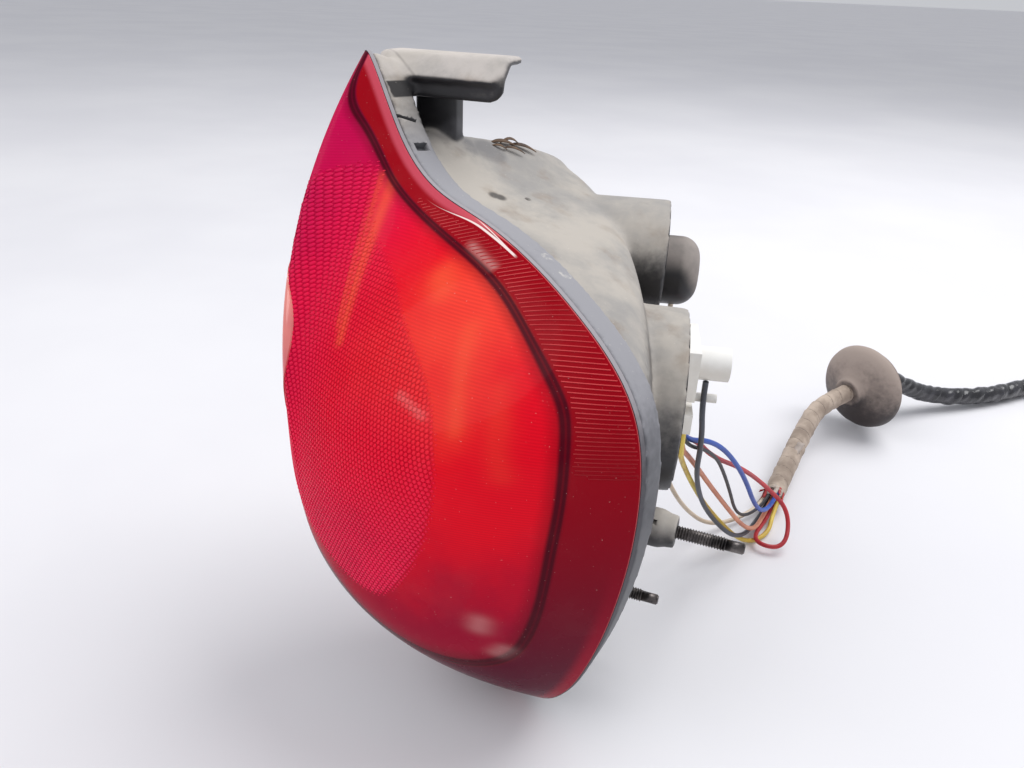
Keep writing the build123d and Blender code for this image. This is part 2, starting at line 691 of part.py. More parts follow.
os.makedirs("parts", exist_ok=True)
write("lens", make_lens())
write("indicator_lens", make_indicator_lens())
write("lens_seal", make_lens_seal())
write("housing", make_housing())
write("mounting_studs", make_studs())
write("main_reflector", make_main_reflector())
write("indicator_reflector", make_indicator_reflector())
write("stop_bulb", MAIN_COLLAR * bulb(boss_axis(), -HOLDER_PLATE, STOP_GLASS_RADIUS))
indicator_bulb = bulb(cap_axis(), -INDICATOR_HOLDER_PLATE, INDICATOR_GLASS_RADIUS)
write("indicator_bulb", INDICATOR_COLLAR * indicator_bulb)
write("bulb_holder", make_bulb_holder())
write("holder_seal", make_holder_seal())
write("holder_contacts", make_holder_contacts())
write("indicator_holder", make_indicator_holder())
write("holder_cap", make_holder_cap())
for wire_name, route, diameter in wire_routes():
    write(wire_name, cord(wire_name, route, diameter))
write("wire_sheath", cord("sheath", SHEATH_ROUTE, SHEATH_DIAMETER))
write("grommet", make_grommet())
write("cable", cord("cable", cable_route(), CABLE_DIAMETER))
write("plug_body", make_plug_body())
write("plug_pins", make_plug_pins())
write("plug_latch", make_plug_latch())
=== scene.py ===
import math

import bmesh
import bpy
import numpy as np
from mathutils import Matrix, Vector


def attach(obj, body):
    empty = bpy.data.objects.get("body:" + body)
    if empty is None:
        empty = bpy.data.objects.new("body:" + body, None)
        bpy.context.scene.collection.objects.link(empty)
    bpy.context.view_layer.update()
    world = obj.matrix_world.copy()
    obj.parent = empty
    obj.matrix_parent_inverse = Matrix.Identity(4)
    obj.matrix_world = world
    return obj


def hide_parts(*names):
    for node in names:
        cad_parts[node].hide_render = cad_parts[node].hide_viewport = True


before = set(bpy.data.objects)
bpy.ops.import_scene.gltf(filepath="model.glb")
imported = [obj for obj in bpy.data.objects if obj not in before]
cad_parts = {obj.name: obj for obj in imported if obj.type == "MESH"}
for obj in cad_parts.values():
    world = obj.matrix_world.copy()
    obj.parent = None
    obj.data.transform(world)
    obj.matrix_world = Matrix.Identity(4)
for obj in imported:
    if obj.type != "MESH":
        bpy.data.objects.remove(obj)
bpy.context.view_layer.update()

# Lengths below are in millimetres, as in the part's source; MM turns them into metres.
MM = 0.001

# Lens rim and dome
RIM_FOOT = np.array([-40.0, -25.0, -73.0])
RIM_TURN = math.radians(58.0)
RIM_POINTS = [
    (-117.0, 124.0), (-84.0, 48.0), (-31.0, -4.5), (0.0, 0.0), (25.0, 37.0), (35.0, 74.0), (38.5, 112.0),
    (32.5, 138.5), (7.5, 158.5), (-43.5, 175.0), (-92.5, 192.5), (-117.5, 219.0), (-120.0, 192.0),
]
LENS_DEPTH = 61.0
LENS_CENTRE = (-58.0, 79.0)
LENS_POWER = 2.25
LENS_WALL = 2.6
# Turned-in edge of the lens: how far in and how high
LENS_EDGE = [(LENS_WALL, 0.0), (0.6, 0.0), (0.2, 0.15)]
LENS_MIDDLE_HEIGHT = 110.0
LENS_COLUMNS = 320
LENS_ROWS = 130

# Zones seen on the lens, flat on the rim plane: the two sides of the dark line and the field of pillows
LINE_INSIDE = [
    (-113.0, 211.5), (-100.5, 195.5), (-85.6, 180.2), (-46.4, 167.6), (-18.0, 160.1), (-0.7, 151.1),
    (10.7, 143.3), (17.5, 136.7), (21.6, 126.6), (23.2, 111.1), (22.3, 96.0), (19.4, 74.0), (13.8, 53.7),
    (7.6, 42.2), (-2.0, 35.9), (-12.0, 35.0), (-40.0, 52.0), (-73.0, 87.0), (-97.0, 129.0), (-112.0, 166.0),
    (-121.0, 194.0), (-124.0, 213.0), (-120.0, 221.0),
]
LINE_OUTSIDE = [
    (-111.8, 212.6), (-100.0, 196.5), (-85.1, 181.5), (-46.2, 169.4), (-17.2, 161.9), (0.6, 152.7),
    (12.5, 145.0), (20.0, 137.8), (24.3, 126.8), (25.8, 110.9), (24.9, 95.4), (21.7, 72.7), (15.8, 50.6),
    (8.3, 37.5), (-2.5, 30.5), (-13.0, 29.5), (-42.0, 48.0), (-75.0, 83.5), (-99.0, 127.0), (-114.0, 166.0),
    (-122.5, 194.0), (-125.5, 215.0), (-119.6, 223.5),
]
PILLOW_FIELD = [
    (-92.9, 185.6), (-80.2, 170.4), (-58.7, 158.4), (-35.6, 146.6), (-20.5, 138.0), (-8.3, 125.5),
    (-3.2, 113.7), (-3.4, 95.9), (-9.1, 78.0), (-16.2, 65.7), (-24.2, 59.3), (-32.2, 60.2), (-44.0, 66.0),
    (-64.0, 80.0), (-82.0, 104.0), (-95.0, 136.0), (-104.0, 176.0),
]
# Centre of the painted glow of the dome and how far the glow reaches
GLOW_CENTRE = (-22.0, 148.0)
GLOW_REACH = 112.0
# Painted light inside the lens, warm light streaks and pale glows and sheen: start, end, half width and
# strength
PAINTED_LIGHT_STREAKS = [
    ((-84.5, 180.6), (-60.1, 136.0), 1.6, 0.5),
    ((-88.0, 182.0), (-64.5, 139.0), 0.8, 0.4),
    ((-17.0, 150.7), (-3.5, 127.5), 2.6, 0.3),
    ((-38.4, 160.5), (-34.0, 157.5), 4.0, 0.45),
    ((2.0, 140.0), (12.0, 118.0), 3.0, 0.12),
]
PAINTED_GLOWS = [
    ((-25.0, 131.0), (-14.5, 128.0), 1.2, 0.14),
    ((6.0, 60.0), (5.0, 56.0), 3.0, 0.18),
    ((9.3, 46.0), (7.0, 43.0), 2.5, 0.18),
    ((-38.0, 169.0), (-25.0, 165.5), 0.9, 0.3),
]
# Pillows; their rows' distance, top and foot are shares of the pitch
PILLOW_PITCH = 1.5
PILLOW_HEIGHT = 0.14
PILLOW_ROW_SHARE = 0.866
PILLOW_TOP_SHARE = 0.26
PILLOW_FOOT_SHARE = 0.53
PILLOW_COLUMNS = 112
PILLOW_ROWS = 160
# Ribs; their rows lie about a middle height over that of the lens and reach far to both sides
RIB_PITCH = 1.2
RIB_COUNT = 140
RIB_POINTS = 300
RIB_MIDDLE = 30.0
RIB_REACH = 105.0
RIB_LINE_GAP = 1.08
RIB_RIM_GAP = 0.4
RIB_LOWEST = 120.0
RIB_FIRST = -72.0
RIB_RADIUS = 0.19
# How far the ribs stay from the rim, at places across it
RIB_END_ACROSS = [-70.0, -40.0, -22.0, -19.0]
RIB_END = [6.0, 3.2, 2.9, 0.5]
# Slope of the ribs at one place across, how much it changes to each side and over what distance
RIB_SLOPE = 0.22
RIB_BEND = 0.16
RIB_BEND_PLACE = -2.0
RIB_BEND_REACH = 14.0

# Housing
SEAL_HEIGHT = 1.5
HOUSING_WALL = 2.4
HOUSING_GRAIN = 1.15
FLANGE_DEPTH = 12.0
FLANGE_TAPER = 0.965
FLANGE_CENTRE = (-63.0, 125.0)
BUCKET_POINTS = [
    (-111.0, 122.0), (-70.0, 51.0), (0.5, 11.0), (21.0, 44.5), (30.0, 82.0), (30.5, 116.0), (22.0, 138.0),
    (0.5, 152.0), (-45.0, 168.0), (-86.0, 182.5), (-107.0, 192.0), (-112.0, 165.0),
]
BUCKET_DEPTH = 75.0
BUCKET_CENTRE = (-103.0, 172.0)
BUCKET_POWER = 1.9
BUCKET_TIP_SCALE = 0.04
BUCKET_OVERLAP = 4.0
BUCKET_ROWS = 70
HOUSING_COLUMNS = 260
COLLAR_TURN = math.radians(12.0)
MAIN_COLLAR_PLACE = (-10.5, 35.0, 33.5)
MAIN_COLLAR_RADIUS = 34.0
MAIN_COLLAR_DRAFT = 2.0
MAIN_COLLAR_LENGTH = 75.0
INDICATOR_COLLAR_PLACE = (-30.0, 83.0, 72.5)
INDICATOR_COLLAR_RADIUS = 22.5
INDICATOR_COLLAR_LENGTH = 60.0
PILLAR_RADIUS = 7.0
PILLAR_TIP_RADIUS = 6.0
PILLAR_TIP_LENGTH = 5.0
PILLAR_LENGTH = 60.0
UPPER_STUD_SEAT = (0.0, 0.0, 0.0)
LOWER_STUD_SEAT = (-27.0, 10.0, -41.0)

# Fixing tab
TAB_START = -140.0
TAB_END = -88.0
TAB_FRONT = 40.0
TAB_TOP = 146.0
TAB_FOOT = TAB_TOP - 8.5
TAB_CREST = TAB_FRONT + 9.0
TAB_SHELF = 14.0
TAB_WALL = 3.0
TAB_LIP_DROP = 6.5
TAB_LIP_SETBACK = 3.0
TAB_LIP_ROUND = 5.5
TAB_LIP_OVERLAP = 1.5
TAB_NOTCH = 3.0
TAB_RAGGED = (-0.5, 0.35)
TAB_STATIONS = 34
TAB_CORNER = [(-117.0, 217.0), (-117.5, 197.0), (-104.0, 192.0), (-105.5, 204.0)]
TAB_CORNER_TOP = -2.0
TAB_CORNER_DEPTH = 8.5
WEB_START = -126.0
WEB_END = -109.0
WEB_WALL = 8.0
WEB_FOOT = 100.0
WEB_TOP = TAB_TOP - 2.0

# Cuts in the housing: a slit and a clip hole in the flange, a hole in the bucket, a slit in the pillar
FLANGE_FACING = np.array([0.62, -0.24, 0.75])
SLIT_PLACE = (-122.2, 29.5, 125.4)
SLIT_ALONG = np.array([0.714, 0.662, -0.228])
SLIT_SIZES = (13.0, 1.1, 8.0)
CLIP_HOLE_PLACE = (-112.5, 28.2, 116.1)
CLIP_HOLE_SIZES = (5.6, 3.4, 5.0)
BUCKET_HOLE_PLACE = (-76.4, 43.6, 99.4)
BUCKET_HOLE_ALONG = (0.39, -0.05, 0.92)
BUCKET_HOLE_RADIUS = 1.2
PILLAR_SLIT_PLACE = (-9.5, -4.9, 5.0)
PILLAR_SLIT_SIZES = (5.0, 3.0, 1.2)

# Marks on the housing, each a place and a radius
TAB_SHADE = [((-117.0, 53.0, 126.0), 26.0)]
DARK_MARKS = [((-85.8, 34.0, 102.4), 3.5), ((-83.8, 34.7, 101.8), 3.5)]
PALE_SCUFFS = [((-51.1, -8.1, 94.6), 3.6), ((-44.0, -12.4, 91.6), 3.2)]
SLATE_SMEARS = [((-108.0, 50.0, 114.5), 11.0), ((-99.0, 61.0, 112.0), 9.0)]

# Studs
STUD_RADIUS = 2.5
STUD_THREAD_LENGTH = 17.0
STUD_THREAD_PITCH = 0.97
STUD_THREAD_DEPTH = 0.45
STUD_POINT_LENGTH = 6.5
STUD_POINT_RADIUS = 2.0
STUD_CHAMFER = 0.6
STUD_SUNK = 4.0
STUD_COLUMNS = 40

# Wires, sheath, grommet and cable
WIRE_DIAMETER = 2.2
THIN_WIRE_DIAMETER = 1.6
SHEATH_DIAMETER = 11.6
CABLE_DIAMETER = 12.5
WIRE_LEAD = 14.0
WIRE_CIRCLE = 3.5
WIRE_EXIT = 9.5
WIRE_SPACING = 2.8
HOLDER_FOOT_OUT = 3.3
HOLDER_FOOT_BELOW = -10.0
SHEATH_ROUTE = [
    (34.5, 152.8, -72.6), (40.0, 186.0, -68.0), (45.6, 213.7, -60.0), (52.3, 236.3, -53.0),
    (67.2, 255.2, -51.0),
]
CABLE_ROUTE = [
    (93.0, 288.0, -50.0), (105.5, 299.5, -58.5), (121.0, 311.5, -66.5), (143.0, 326.0, -70.5),
    (167.0, 345.0, -72.5), (191.0, 369.5, -72.5), (217.0, 393.0, -72.5), (240.5, 407.5, -72.5),
]
# Tape turns: how finely the tubes are divided, and how many waves crinkle them
TAPE_COLUMNS = 48
TAPE_WAVES = 14
# Half the thickness of loose strips of tape and leaf
STRIP_HALF_THICKNESS = 0.12
# Grommet: distance along it and radius
GROMMET_PROFILE = [
    (0, 7.2), (0, 8.6), (0.6, 9), (3, 9), (4.4, 10.5), (6, 16), (8, 21), (10.5, 24.6), (13, 26.4),
    (15.4, 27), (16.4, 26.6), (17, 25.5), (17, 19), (21, 19), (21, 22.4), (21.6, 23), (25.6, 19.6),
    (26, 19), (26, 9), (30, 9),
]

# Dry leaf bits on the bucket: start, middle, end and width
LEAF_BITS = [
    ((-103.0, 68.0, 112.6), (-99.0, 71.0, 115.0), (-95.0, 76.0, 111.4), 2.6),
    ((-100.0, 72.0, 112.2), (-97.0, 76.0, 116.0), (-94.5, 80.0, 111.0), 2.0),
    ((-98.0, 76.0, 111.2), (-93.0, 80.0, 112.5), (-88.0, 83.0, 108.2), 2.6),
    ((-97.0, 69.0, 111.2), (-94.0, 72.0, 112.4), (-90.0, 75.0, 108.6), 1.7),
    ((-101.0, 66.0, 112.2), (-98.0, 68.0, 113.2), (-95.5, 69.0, 110.6), 1.4),
]

# Camera and floor
CAMERA_PLACE = (19.4, -229.2, 168.7)
CAMERA_AHEAD = (-0.3047, 0.8373, -0.4540)
CAMERA_RIGHT = (0.9320, 0.3603, 0.0389)
CAMERA_LENS = 27.42
FLOOR_LEVEL = -79.1

# Directions
RIM_ACROSS = np.array([math.sin(RIM_TURN), -math.cos(RIM_TURN), 0.0])
RIM_OUT = np.array([-math.cos(RIM_TURN), -math.sin(RIM_TURN), 0.0])
RIM_UP = np.array([0.0, 0.0, 1.0])
COLLAR_ALONG = np.array([math.cos(COLLAR_TURN), math.sin(COLLAR_TURN), 0.0])
COLLAR_SIDE = np.array([-math.sin(COLLAR_TURN), math.cos(COLLAR_TURN), 0.0])
STUD_ALONG = np.array([1.0, 0.0, 0.0])


def travel(points):
    """Distance along a line of points, at each of them."""
    return np.concatenate([[0], np.cumsum(np.linalg.norm(np.diff(points, axis=0), axis=1))])


def spline_loop(points, count):
    """Smooth closed curve through points, as count points evenly spread along it."""
    knots = np.array(points, float)
    total = len(knots)
    ahead = np.roll(knots, -1, axis=0)
    gaps = np.linalg.norm(ahead - knots, axis=1)
    system = np.zeros((total, total))
    sides = np.zeros((total, 2))
    for i in range(total):
        before, after = gaps[i - 1], gaps[i]
        system[i, i - 1] = after
        system[i, i] = 2 * (before + after)
        system[i, (i + 1) % total] = before
        sides[i] = 3 * (after * (knots[i] - knots[i - 1]) / before + before * (ahead[i] - knots[i]) / after)
    slopes = np.linalg.solve(system, sides)
    dense = []
    for i in range(total):
        t = np.linspace(0, 1, 60, endpoint=False)[:, None]
        start, end = knots[i], ahead[i]
        first, last = slopes[i] * gaps[i], slopes[(i + 1) % total] * gaps[i]
        dense.append(
            start * (1 - 3 * t**2 + 2 * t**3) + end * (3 * t**2 - 2 * t**3)
            + first * (t - 2 * t**2 + t**3) + last * (t**3 - t**2)
        )
    dense = np.vstack(dense + [knots[:1]])
    travelled = travel(dense)
    wanted = np.linspace(0, travelled[-1], count, endpoint=False)
    return np.stack([np.interp(wanted, travelled, dense[:, k]) for k in range(2)], axis=1)


def moved_in(loop, distance):
    """Closed loop moved square to itself, inwards if positive."""
    along = np.roll(loop, -1, axis=0) - np.roll(loop, 1, axis=0)
    along /= np.linalg.norm(along, axis=1)[:, None]
    return loop + distance * np.stack([-along[:, 1], along[:, 0]], axis=1)


def scaled(loop, centre, scale):
    centre = np.array(centre)
    return centre + (loop - centre) * scale


def rim_ring(loop, height):
    """Points of a flat loop at a height over the rim plane, in metres."""
    loop = np.asarray(loop, float)
    across = loop[:, :1] * RIM_ACROSS + loop[:, 1:] * RIM_UP
    return (RIM_FOOT + across + height * RIM_OUT) * MM


def side_of_loop(points, loop):
    """Signed distance from points to a closed loop, positive inside."""
    start, end = loop, np.roll(loop, -1, axis=0)
    edge = end - start
    nearest = np.full(len(points), 1e9)
    inside = np.zeros(len(points), bool)
    for a, b, e in zip(start, end, edge):
        along = np.clip(((points - a) @ e) / (e @ e), 0, 1)
        nearest = np.minimum(nearest, np.linalg.norm(points - a - along[:, None] * e, axis=1))
        crosses = (a[1] > points[:, 1]) != (b[1] > points[:, 1])
        height = b[1] - a[1] if b[1] != a[1] else 1e-9
        inside ^= crosses & (points[:, 0] < a[0] + (points[:, 1] - a[1]) / height * e[0])
    return np.where(inside, nearest, -nearest)


def near_marks(points, marks):
    """Strength of the nearest of some soft marks at each point."""
    strongest = np.zeros(len(points))
    for start, end, width, strength in marks:
        run = np.subtract(end, start)
        share = np.clip((points - start) @ run / (run @ run), 0, 1)
        distance = np.linalg.norm(points - start - share[:, None] * run, axis=1)
        strongest = np.maximum(strongest, strength * np.exp(-((distance / width) ** 2)))
    return strongest


def linked(name, data):
    """New object in the scene."""
    piece = bpy.data.objects.new(name, data)
    bpy.context.collection.objects.link(piece)
    return piece


def evaluated_mesh(piece):
    """Plain mesh of a piece with its modifiers worked in."""
    graph = bpy.context.evaluated_depsgraph_get()
    return bpy.data.meshes.new_from_object(piece.evaluated_get(graph))


def work_in(piece):
    """Leaves a piece with a plain mesh in place of its modifiers."""
    mesh = evaluated_mesh(piece)
    piece.modifiers.clear()
    piece.data = mesh


def new_object(name, vertices, faces):
    mesh = bpy.data.meshes.new(name)
    mesh.from_pydata([tuple(v) for v in vertices], [], faces)
    mesh.validate()
    mesh.shade_smooth()
    return linked(name, mesh)


def ring_faces(rows, columns, cap_start=False, cap_end=False, wrap=False):
    """Faces of a stack of closed rings, with flat caps or with the last ring joined to the first."""
    faces = []
    for r in range(rows if wrap else rows - 1):
        here, above = r * columns, (r + 1) % rows * columns
        for c in range(columns):
            d = (c + 1) % columns
            faces.append((here + c, here + d, above + d, above + c))
    if cap_start:
        faces.append(tuple(reversed(range(columns))))
    if cap_end:
        faces.append(tuple((rows - 1) * columns + c for c in range(columns)))
    return faces


def add_attribute(piece, name, values):
    layer = piece.data.attributes.new(name, "FLOAT", "POINT")
    layer.data.foreach_set("value", np.asarray(values, np.float32))


class Value:
    """A node socket that takes part in sums; make() adds any other node."""

    def __init__(self, tree, socket):
        self.tree = tree
        self.socket = socket

    def feed(self, target, value):
        if isinstance(value, Value):
            self.tree.links.new(value.socket, target)
        elif isinstance(value, list):
            for each in value:
                self.tree.links.new(each.socket, target)
        else:
            target.default_value = value

    def make(self, kind, inputs=None, output=0, **settings):
        node = self.tree.nodes.new(kind)
        for name, value in settings.items():
            setattr(node, name, value)
        for name, value in (inputs or {}).items():
            self.feed(node.inputs[name], value)
        return Value(self.tree, node.outputs[output])

    def geometry(self, kind, output=0, **values):
        """Geometry node; capitalised names are its inputs, with _ for a space, others its settings."""
        inputs, settings = {}, {}
        for name, value in values.items():
            if name[0].isupper():
                inputs[name.replace("_", " ")] = value
            else:
                settings[name] = value
        return self.make("GeometryNode" + kind, inputs, output, **settings)

    def then(self, kind, **values):
        """Geometry node that works on this geometry."""
        made = self.geometry(kind, **values)
        self.feed(made.socket.node.inputs[0], self)
        return made

    def vector(self, **parts):
        return self.make("ShaderNodeCombineXYZ", parts)

    def also(self, output):
        """Another output of the same node."""
        return Value(self.tree, self.socket.node.outputs[output])

    def sum_with(self, operation, *others):
        return self.make("ShaderNodeMath", dict(enumerate((self,) + others)), operation=operation)

    def __add__(self, other):
        return self.sum_with("ADD", other)

    def __mul__(self, other):
        return self.sum_with("MULTIPLY", other)

    def __sub__(self, other):
        return self.sum_with("SUBTRACT", other)

    def __rsub__(self, other):
        return (self * -1.0) + other

    def __truediv__(self, other):
        return self.sum_with("DIVIDE", other)

    def step(self, low, high, start=0.0, end=1.0):
        """Smooth change from start to end as the value goes from low to high."""
        inputs = {0: self, 1: low, 2: high, 3: start, 4: end}
        return self.make("ShaderNodeMapRange", inputs, interpolation_type="SMOOTHSTEP")

    def blend(self, first, second):
        """Colour between two colours, with this value as the factor."""
        inputs = {0: self, 6: first, 7: second}
        return self.make("ShaderNodeMix", inputs, output=2, data_type="RGBA")

    def wave(self, period):
        """Wave from -1 to 1 over each period."""
        return (self * (2 * math.pi / period)).sum_with("SINE")

    def noise(self, scale, detail=4.0, roughness=0.55):
        """Noise from 0 to 1, for a vector value."""
        inputs = {"Vector": self, "Scale": scale, "Detail": detail, "Roughness": roughness}
        return self.make("ShaderNodeTexNoise", inputs)

    def part(self, axis):
        """One component of a vector value."""
        return self.make("ShaderNodeSeparateXYZ", {0: self}, output="XYZ".index(axis))

    def dot(self, direction):
        """Size of a vector value along a direction."""
        inputs = {0: self, 1: tuple(direction)}
        return self.make("ShaderNodeVectorMath", inputs, output="Value", operation="DOT_PRODUCT")

    def spot(self, centre, radius):
        """One within a radius of a place, with a soft edge."""
        inputs = {0: self, 1: tuple(c * MM for c in centre)}
        distance = self.make("ShaderNodeVectorMath", inputs, output="Value", operation="DISTANCE")
        return (distance / MM).step(radius * 0.6, radius, 1.0, 0.0)

    def spots(self, marks):
        """Largest of some spots, each given by its centre and radius."""
        largest = self.spot(*marks[0])
        for mark in marks[1:]:
            largest = largest.sum_with("MAXIMUM", self.spot(*mark))
        return largest


class Finish:
    """A material with one Principled shader and the values its look is worked out from."""

    def __init__(self, name, **constants):
        self.material = bpy.data.materials.new(name)
        self.material.use_nodes = True
        self.tree = self.material.node_tree
        self.tree.nodes.clear()
        self.shader = self.tree.nodes.new("ShaderNodeBsdfPrincipled")
        self.output = self.tree.nodes.new("ShaderNodeOutputMaterial")
        self.tree.links.new(self.shader.outputs[0], self.output.inputs[0])
        for socket, value in constants.items():
            self.shader.inputs[socket.replace("_", " ")].default_value = value

    def source(self, kind, output, **settings):
        return Value(self.tree, None).make(kind, output=output, **settings)

    def place(self):
        return self.source("ShaderNodeTexCoord", "Object")

    def normal(self):
        return self.source("ShaderNodeNewGeometry", "Normal")

    def attribute(self, name):
        return self.source("ShaderNodeAttribute", "Fac", attribute_name=name)

    def set(self, socket, value):
        value.feed(self.shader.inputs[socket], value)

    def bump(self, height, distance, strength=1.0):
        inputs = {"Height": height, "Distance": distance, "Strength": strength}
        self.set("Normal", height.make("ShaderNodeBump", inputs))

    def dust(self, low, high, cloud_scale=22.0):
        """Share of dust: more where the surface faces up, in clouds and specks."""
        place = self.place()
        facing = self.normal().part("Z").step(low, high)
        cloud = place.noise(cloud_scale)
        speck = place.noise(cloud_scale * 14, 6.0)
        return (facing + (cloud - 0.5) * 0.8 + (speck - 0.5) * 0.5).step(0.1, 0.95)


class Recipe:
    """A Geometry Nodes tree with named inputs, which makes one plain mesh."""

    def __init__(self, name, **inputs):
        self.name = name
        self.inputs = inputs
        self.tree = bpy.data.node_groups.new(name, "GeometryNodeTree")
        self.tree.interface.new_socket("Geometry", in_out="INPUT", socket_type="NodeSocketGeometry")
        self.tree.interface.new_socket("Geometry", in_out="OUTPUT", socket_type="NodeSocketGeometry")
        for label, value in inputs.items():
            kind = "NodeSocketInt" if isinstance(value, int) else "NodeSocketFloat"
            self.tree.interface.new_socket(label, in_out="INPUT", socket_type=kind)
        self.start = self.tree.nodes.new("NodeGroupInput")

    def input(self, label):
        return Value(self.tree, self.start.outputs[label])

    def run(self, shape, material, base=None):
        """The piece that the tree makes from a shape, with its finish; base is the mesh that it reads."""
        done = shape.then("RealizeInstances").then("SetShadeSmooth").then("SetMaterial", Material=material)
        end = self.tree.nodes.new("NodeGroupOutput")
        self.tree.links.new(done.socket, end.inputs["Geometry"])
        mesh = base.copy() if base else bpy.data.meshes.new(self.name)
        piece = linked(self.name, mesh)
        modifier = piece.modifiers.new(self.name, "NODES")
        modifier.node_group = self.tree
        for item in self.tree.interface.items_tree:
            if item.in_out == "INPUT" and item.name in self.inputs:
                modifier[item.identifier] = self.inputs[item.name]
        work_in(piece)
        return piece


def rgb(red, green, blue):
    """Linear colour from the 0 to 255 values that a screen shows."""
    parts = []
    for value in (red, green, blue):
        c = value / 255
        parts.append(c / 12.92 if c <= 0.04045 else ((c + 0.055) / 1.055) ** 2.4)
    return tuple(parts) + (1.0,)


# Colours of the painted light streaks and painted glows of the lens
PAINTED_STREAK_COLOUR = rgb(255, 102, 62)
PAINTED_GLOW_COLOUR = rgb(255, 214, 206)


def plain_finish(name, light, dark, scale, roughness, metallic=0.0, grain=0.0, coat=0.0):
    """Finish that drifts between two colours, with a fine grain if asked for."""
    finish = Finish(name, Metallic=metallic, Coat_Weight=coat, Coat_Roughness=0.1)
    drift = finish.place().noise(scale)
    finish.set("Base Color", drift.step(0.3, 0.7).blend(dark, light))
    finish.set("Roughness", drift.step(0.25, 0.75, roughness - 0.08, roughness + 0.08))
    if grain:
        finish.bump(finish.place().noise(scale * 14), grain * MM, 0.5)
    return finish.material


def dusty_finish(name, clean, dusty, low, high, roughness, scale=22.0, grain=0.1):
    """Finish with pale dust on what faces up."""
    finish = Finish(name)
    dust = finish.dust(low, high, scale)
    finish.set("Base Color", dust.blend(clean, dusty))
    finish.set("Roughness", dust.step(0.0, 1.0, roughness, 0.85))
    finish.bump(finish.place().noise(scale * 20), grain * MM, 0.4)
    return finish.material


def lens_place(finish):
    """Distances across and up the rim plane, in millimetres."""
    place = finish.place()
    across = place.dot(RIM_ACROSS) / MM - float(RIM_FOOT @ RIM_ACROSS)
    height = place.part("Z") / MM - float(RIM_FOOT[2])
    return across, height


def dome_red(finish):
    """Red of the dome: painted glow, cloudy orange-red round one bright place, crimson away from it, and a
    painted magenta reflection to the left.
    """
    across, height = lens_place(finish)
    cloud = finish.place().noise(30.0, 5.0)
    side = across - GLOW_CENTRE[0]
    rise = height - GLOW_CENTRE[1]
    away = (side * side + rise * rise).sum_with("SQRT")
    glow_share = 1.0 - away / GLOW_REACH + (cloud - 0.5) * 0.5
    low = glow_share.step(0.1, 0.6).blend(rgb(158, 3, 46), rgb(236, 12, 36))
    colour = glow_share.step(0.65, 1.05).blend(low, rgb(253, 66, 48))
    # Towards the left: painted magenta reflection of purple surroundings.
    return across.step(-105.0, -45.0, 0.65, 0.0).blend(colour, rgb(220, 14, 92))


def band_red(height):
    """Dark red of the band past the dark line."""
    return height.step(15.0, 150.0).blend(rgb(84, 2, 36), rgb(156, 4, 22))


def rim_glint(across, rim):
    """Painted reflection: bright lines along the upper rim, a broad one and a fine one that meet."""
    broad = (rim - across.step(-70.0, -40.0, 5.0, 2.1)).sum_with("ABSOLUTE")
    broad = (broad / across.step(-64.0, -34.0, 0.12, 0.5)).step(0.55, 1.0, 1.0, 0.0)
    fine = (rim - across.step(-48.0, -20.0, 0.5, 2.0)).sum_with("ABSOLUTE").step(0.08, 0.24, 1.0, 0.0)
    fine = fine * across.step(-46.0, -38.0)
    return broad.sum_with("MAXIMUM", fine) * across.step(-70.0, -50.0) * across.step(-23.0, -20.5, 0.92, 0.0)


def lens_finish():
    """Red lens: a smooth dome with a painted glow, a dark line and a dark band up to a rim with painted light
    along it, with painted streaks, glows and reflections.
    """
    finish = Finish("red_lens", Coat_Weight=0.07, Coat_Roughness=0.05, Specular_IOR_Level=0.03)
    across, height = lens_place(finish)
    line = finish.attribute("line")
    rim = finish.attribute("rim")
    pillows = finish.attribute("pillow").step(0.0, 2.0)

    fine_lines = height.wave(0.85).step(-1.0, 1.0, 0.0, 0.16)
    dome = fine_lines.blend(dome_red(finish), rgb(150, 0, 26))
    dome = (pillows * 0.45).blend(dome, rgb(186, 0, 48))
    # Painted light streaks on the dome.
    dome = finish.attribute("warm").blend(dome, PAINTED_STREAK_COLOUR)
    # Painted shade, soft, just inside the dark line.
    dome = (line.step(-1.4, 0.2) * 0.45).blend(dome, rgb(84, 0, 20))

    band = band_red(height)
    # Painted glow: brighter red along the rim low down.
    low_edge_glow = height.step(30.0, 105.0, 1.0, 0.0) * rim.step(2.0, 7.0, 1.0, 0.0)
    band = (low_edge_glow * 0.6).blend(band, rgb(172, 8, 42))
    # Painted light along the thin upper rim edge: a pink lip, broad to the left, narrow to the right.
    lip = (rim / across.step(-62.0, -22.0, 4.4, 0.6)).step(0.5, 1.0, 0.75, 0.0)
    band = lip.blend(band, across.step(-62.0, -22.0).blend(rgb(214, 88, 106), rgb(230, 122, 124)))

    colour = line.step(0.9, 1.1).blend(dome, band)
    dark = line.step(-0.15, 0.25) * line.step(0.8, 1.15, 1.0, 0.0)
    between = line.step(0.4, 0.55) * line.step(0.55, 0.7, 1.0, 0.0)
    colour = (dark * (0.95 - between * 0.15)).blend(colour, rgb(70, 2, 22))
    # Painted reflection along the upper rim.
    colour = rim_glint(across, rim).blend(colour, rgb(255, 236, 230))
    # Painted pale glows and sheen.
    colour = finish.attribute("pale").blend(colour, PAINTED_GLOW_COLOUR)
    speck = finish.place().noise(1200.0, 2.0).step(0.71, 0.78)
    haze = finish.place().noise(45.0, 6.0).step(0.45, 0.8)
    colour = (speck * 0.3 + haze * 0.012).blend(colour, rgb(236, 196, 190))
    finish.set("Base Color", colour)
    finish.set("Roughness", haze.step(0.0, 1.0, 0.24, 0.4))
    return finish.material


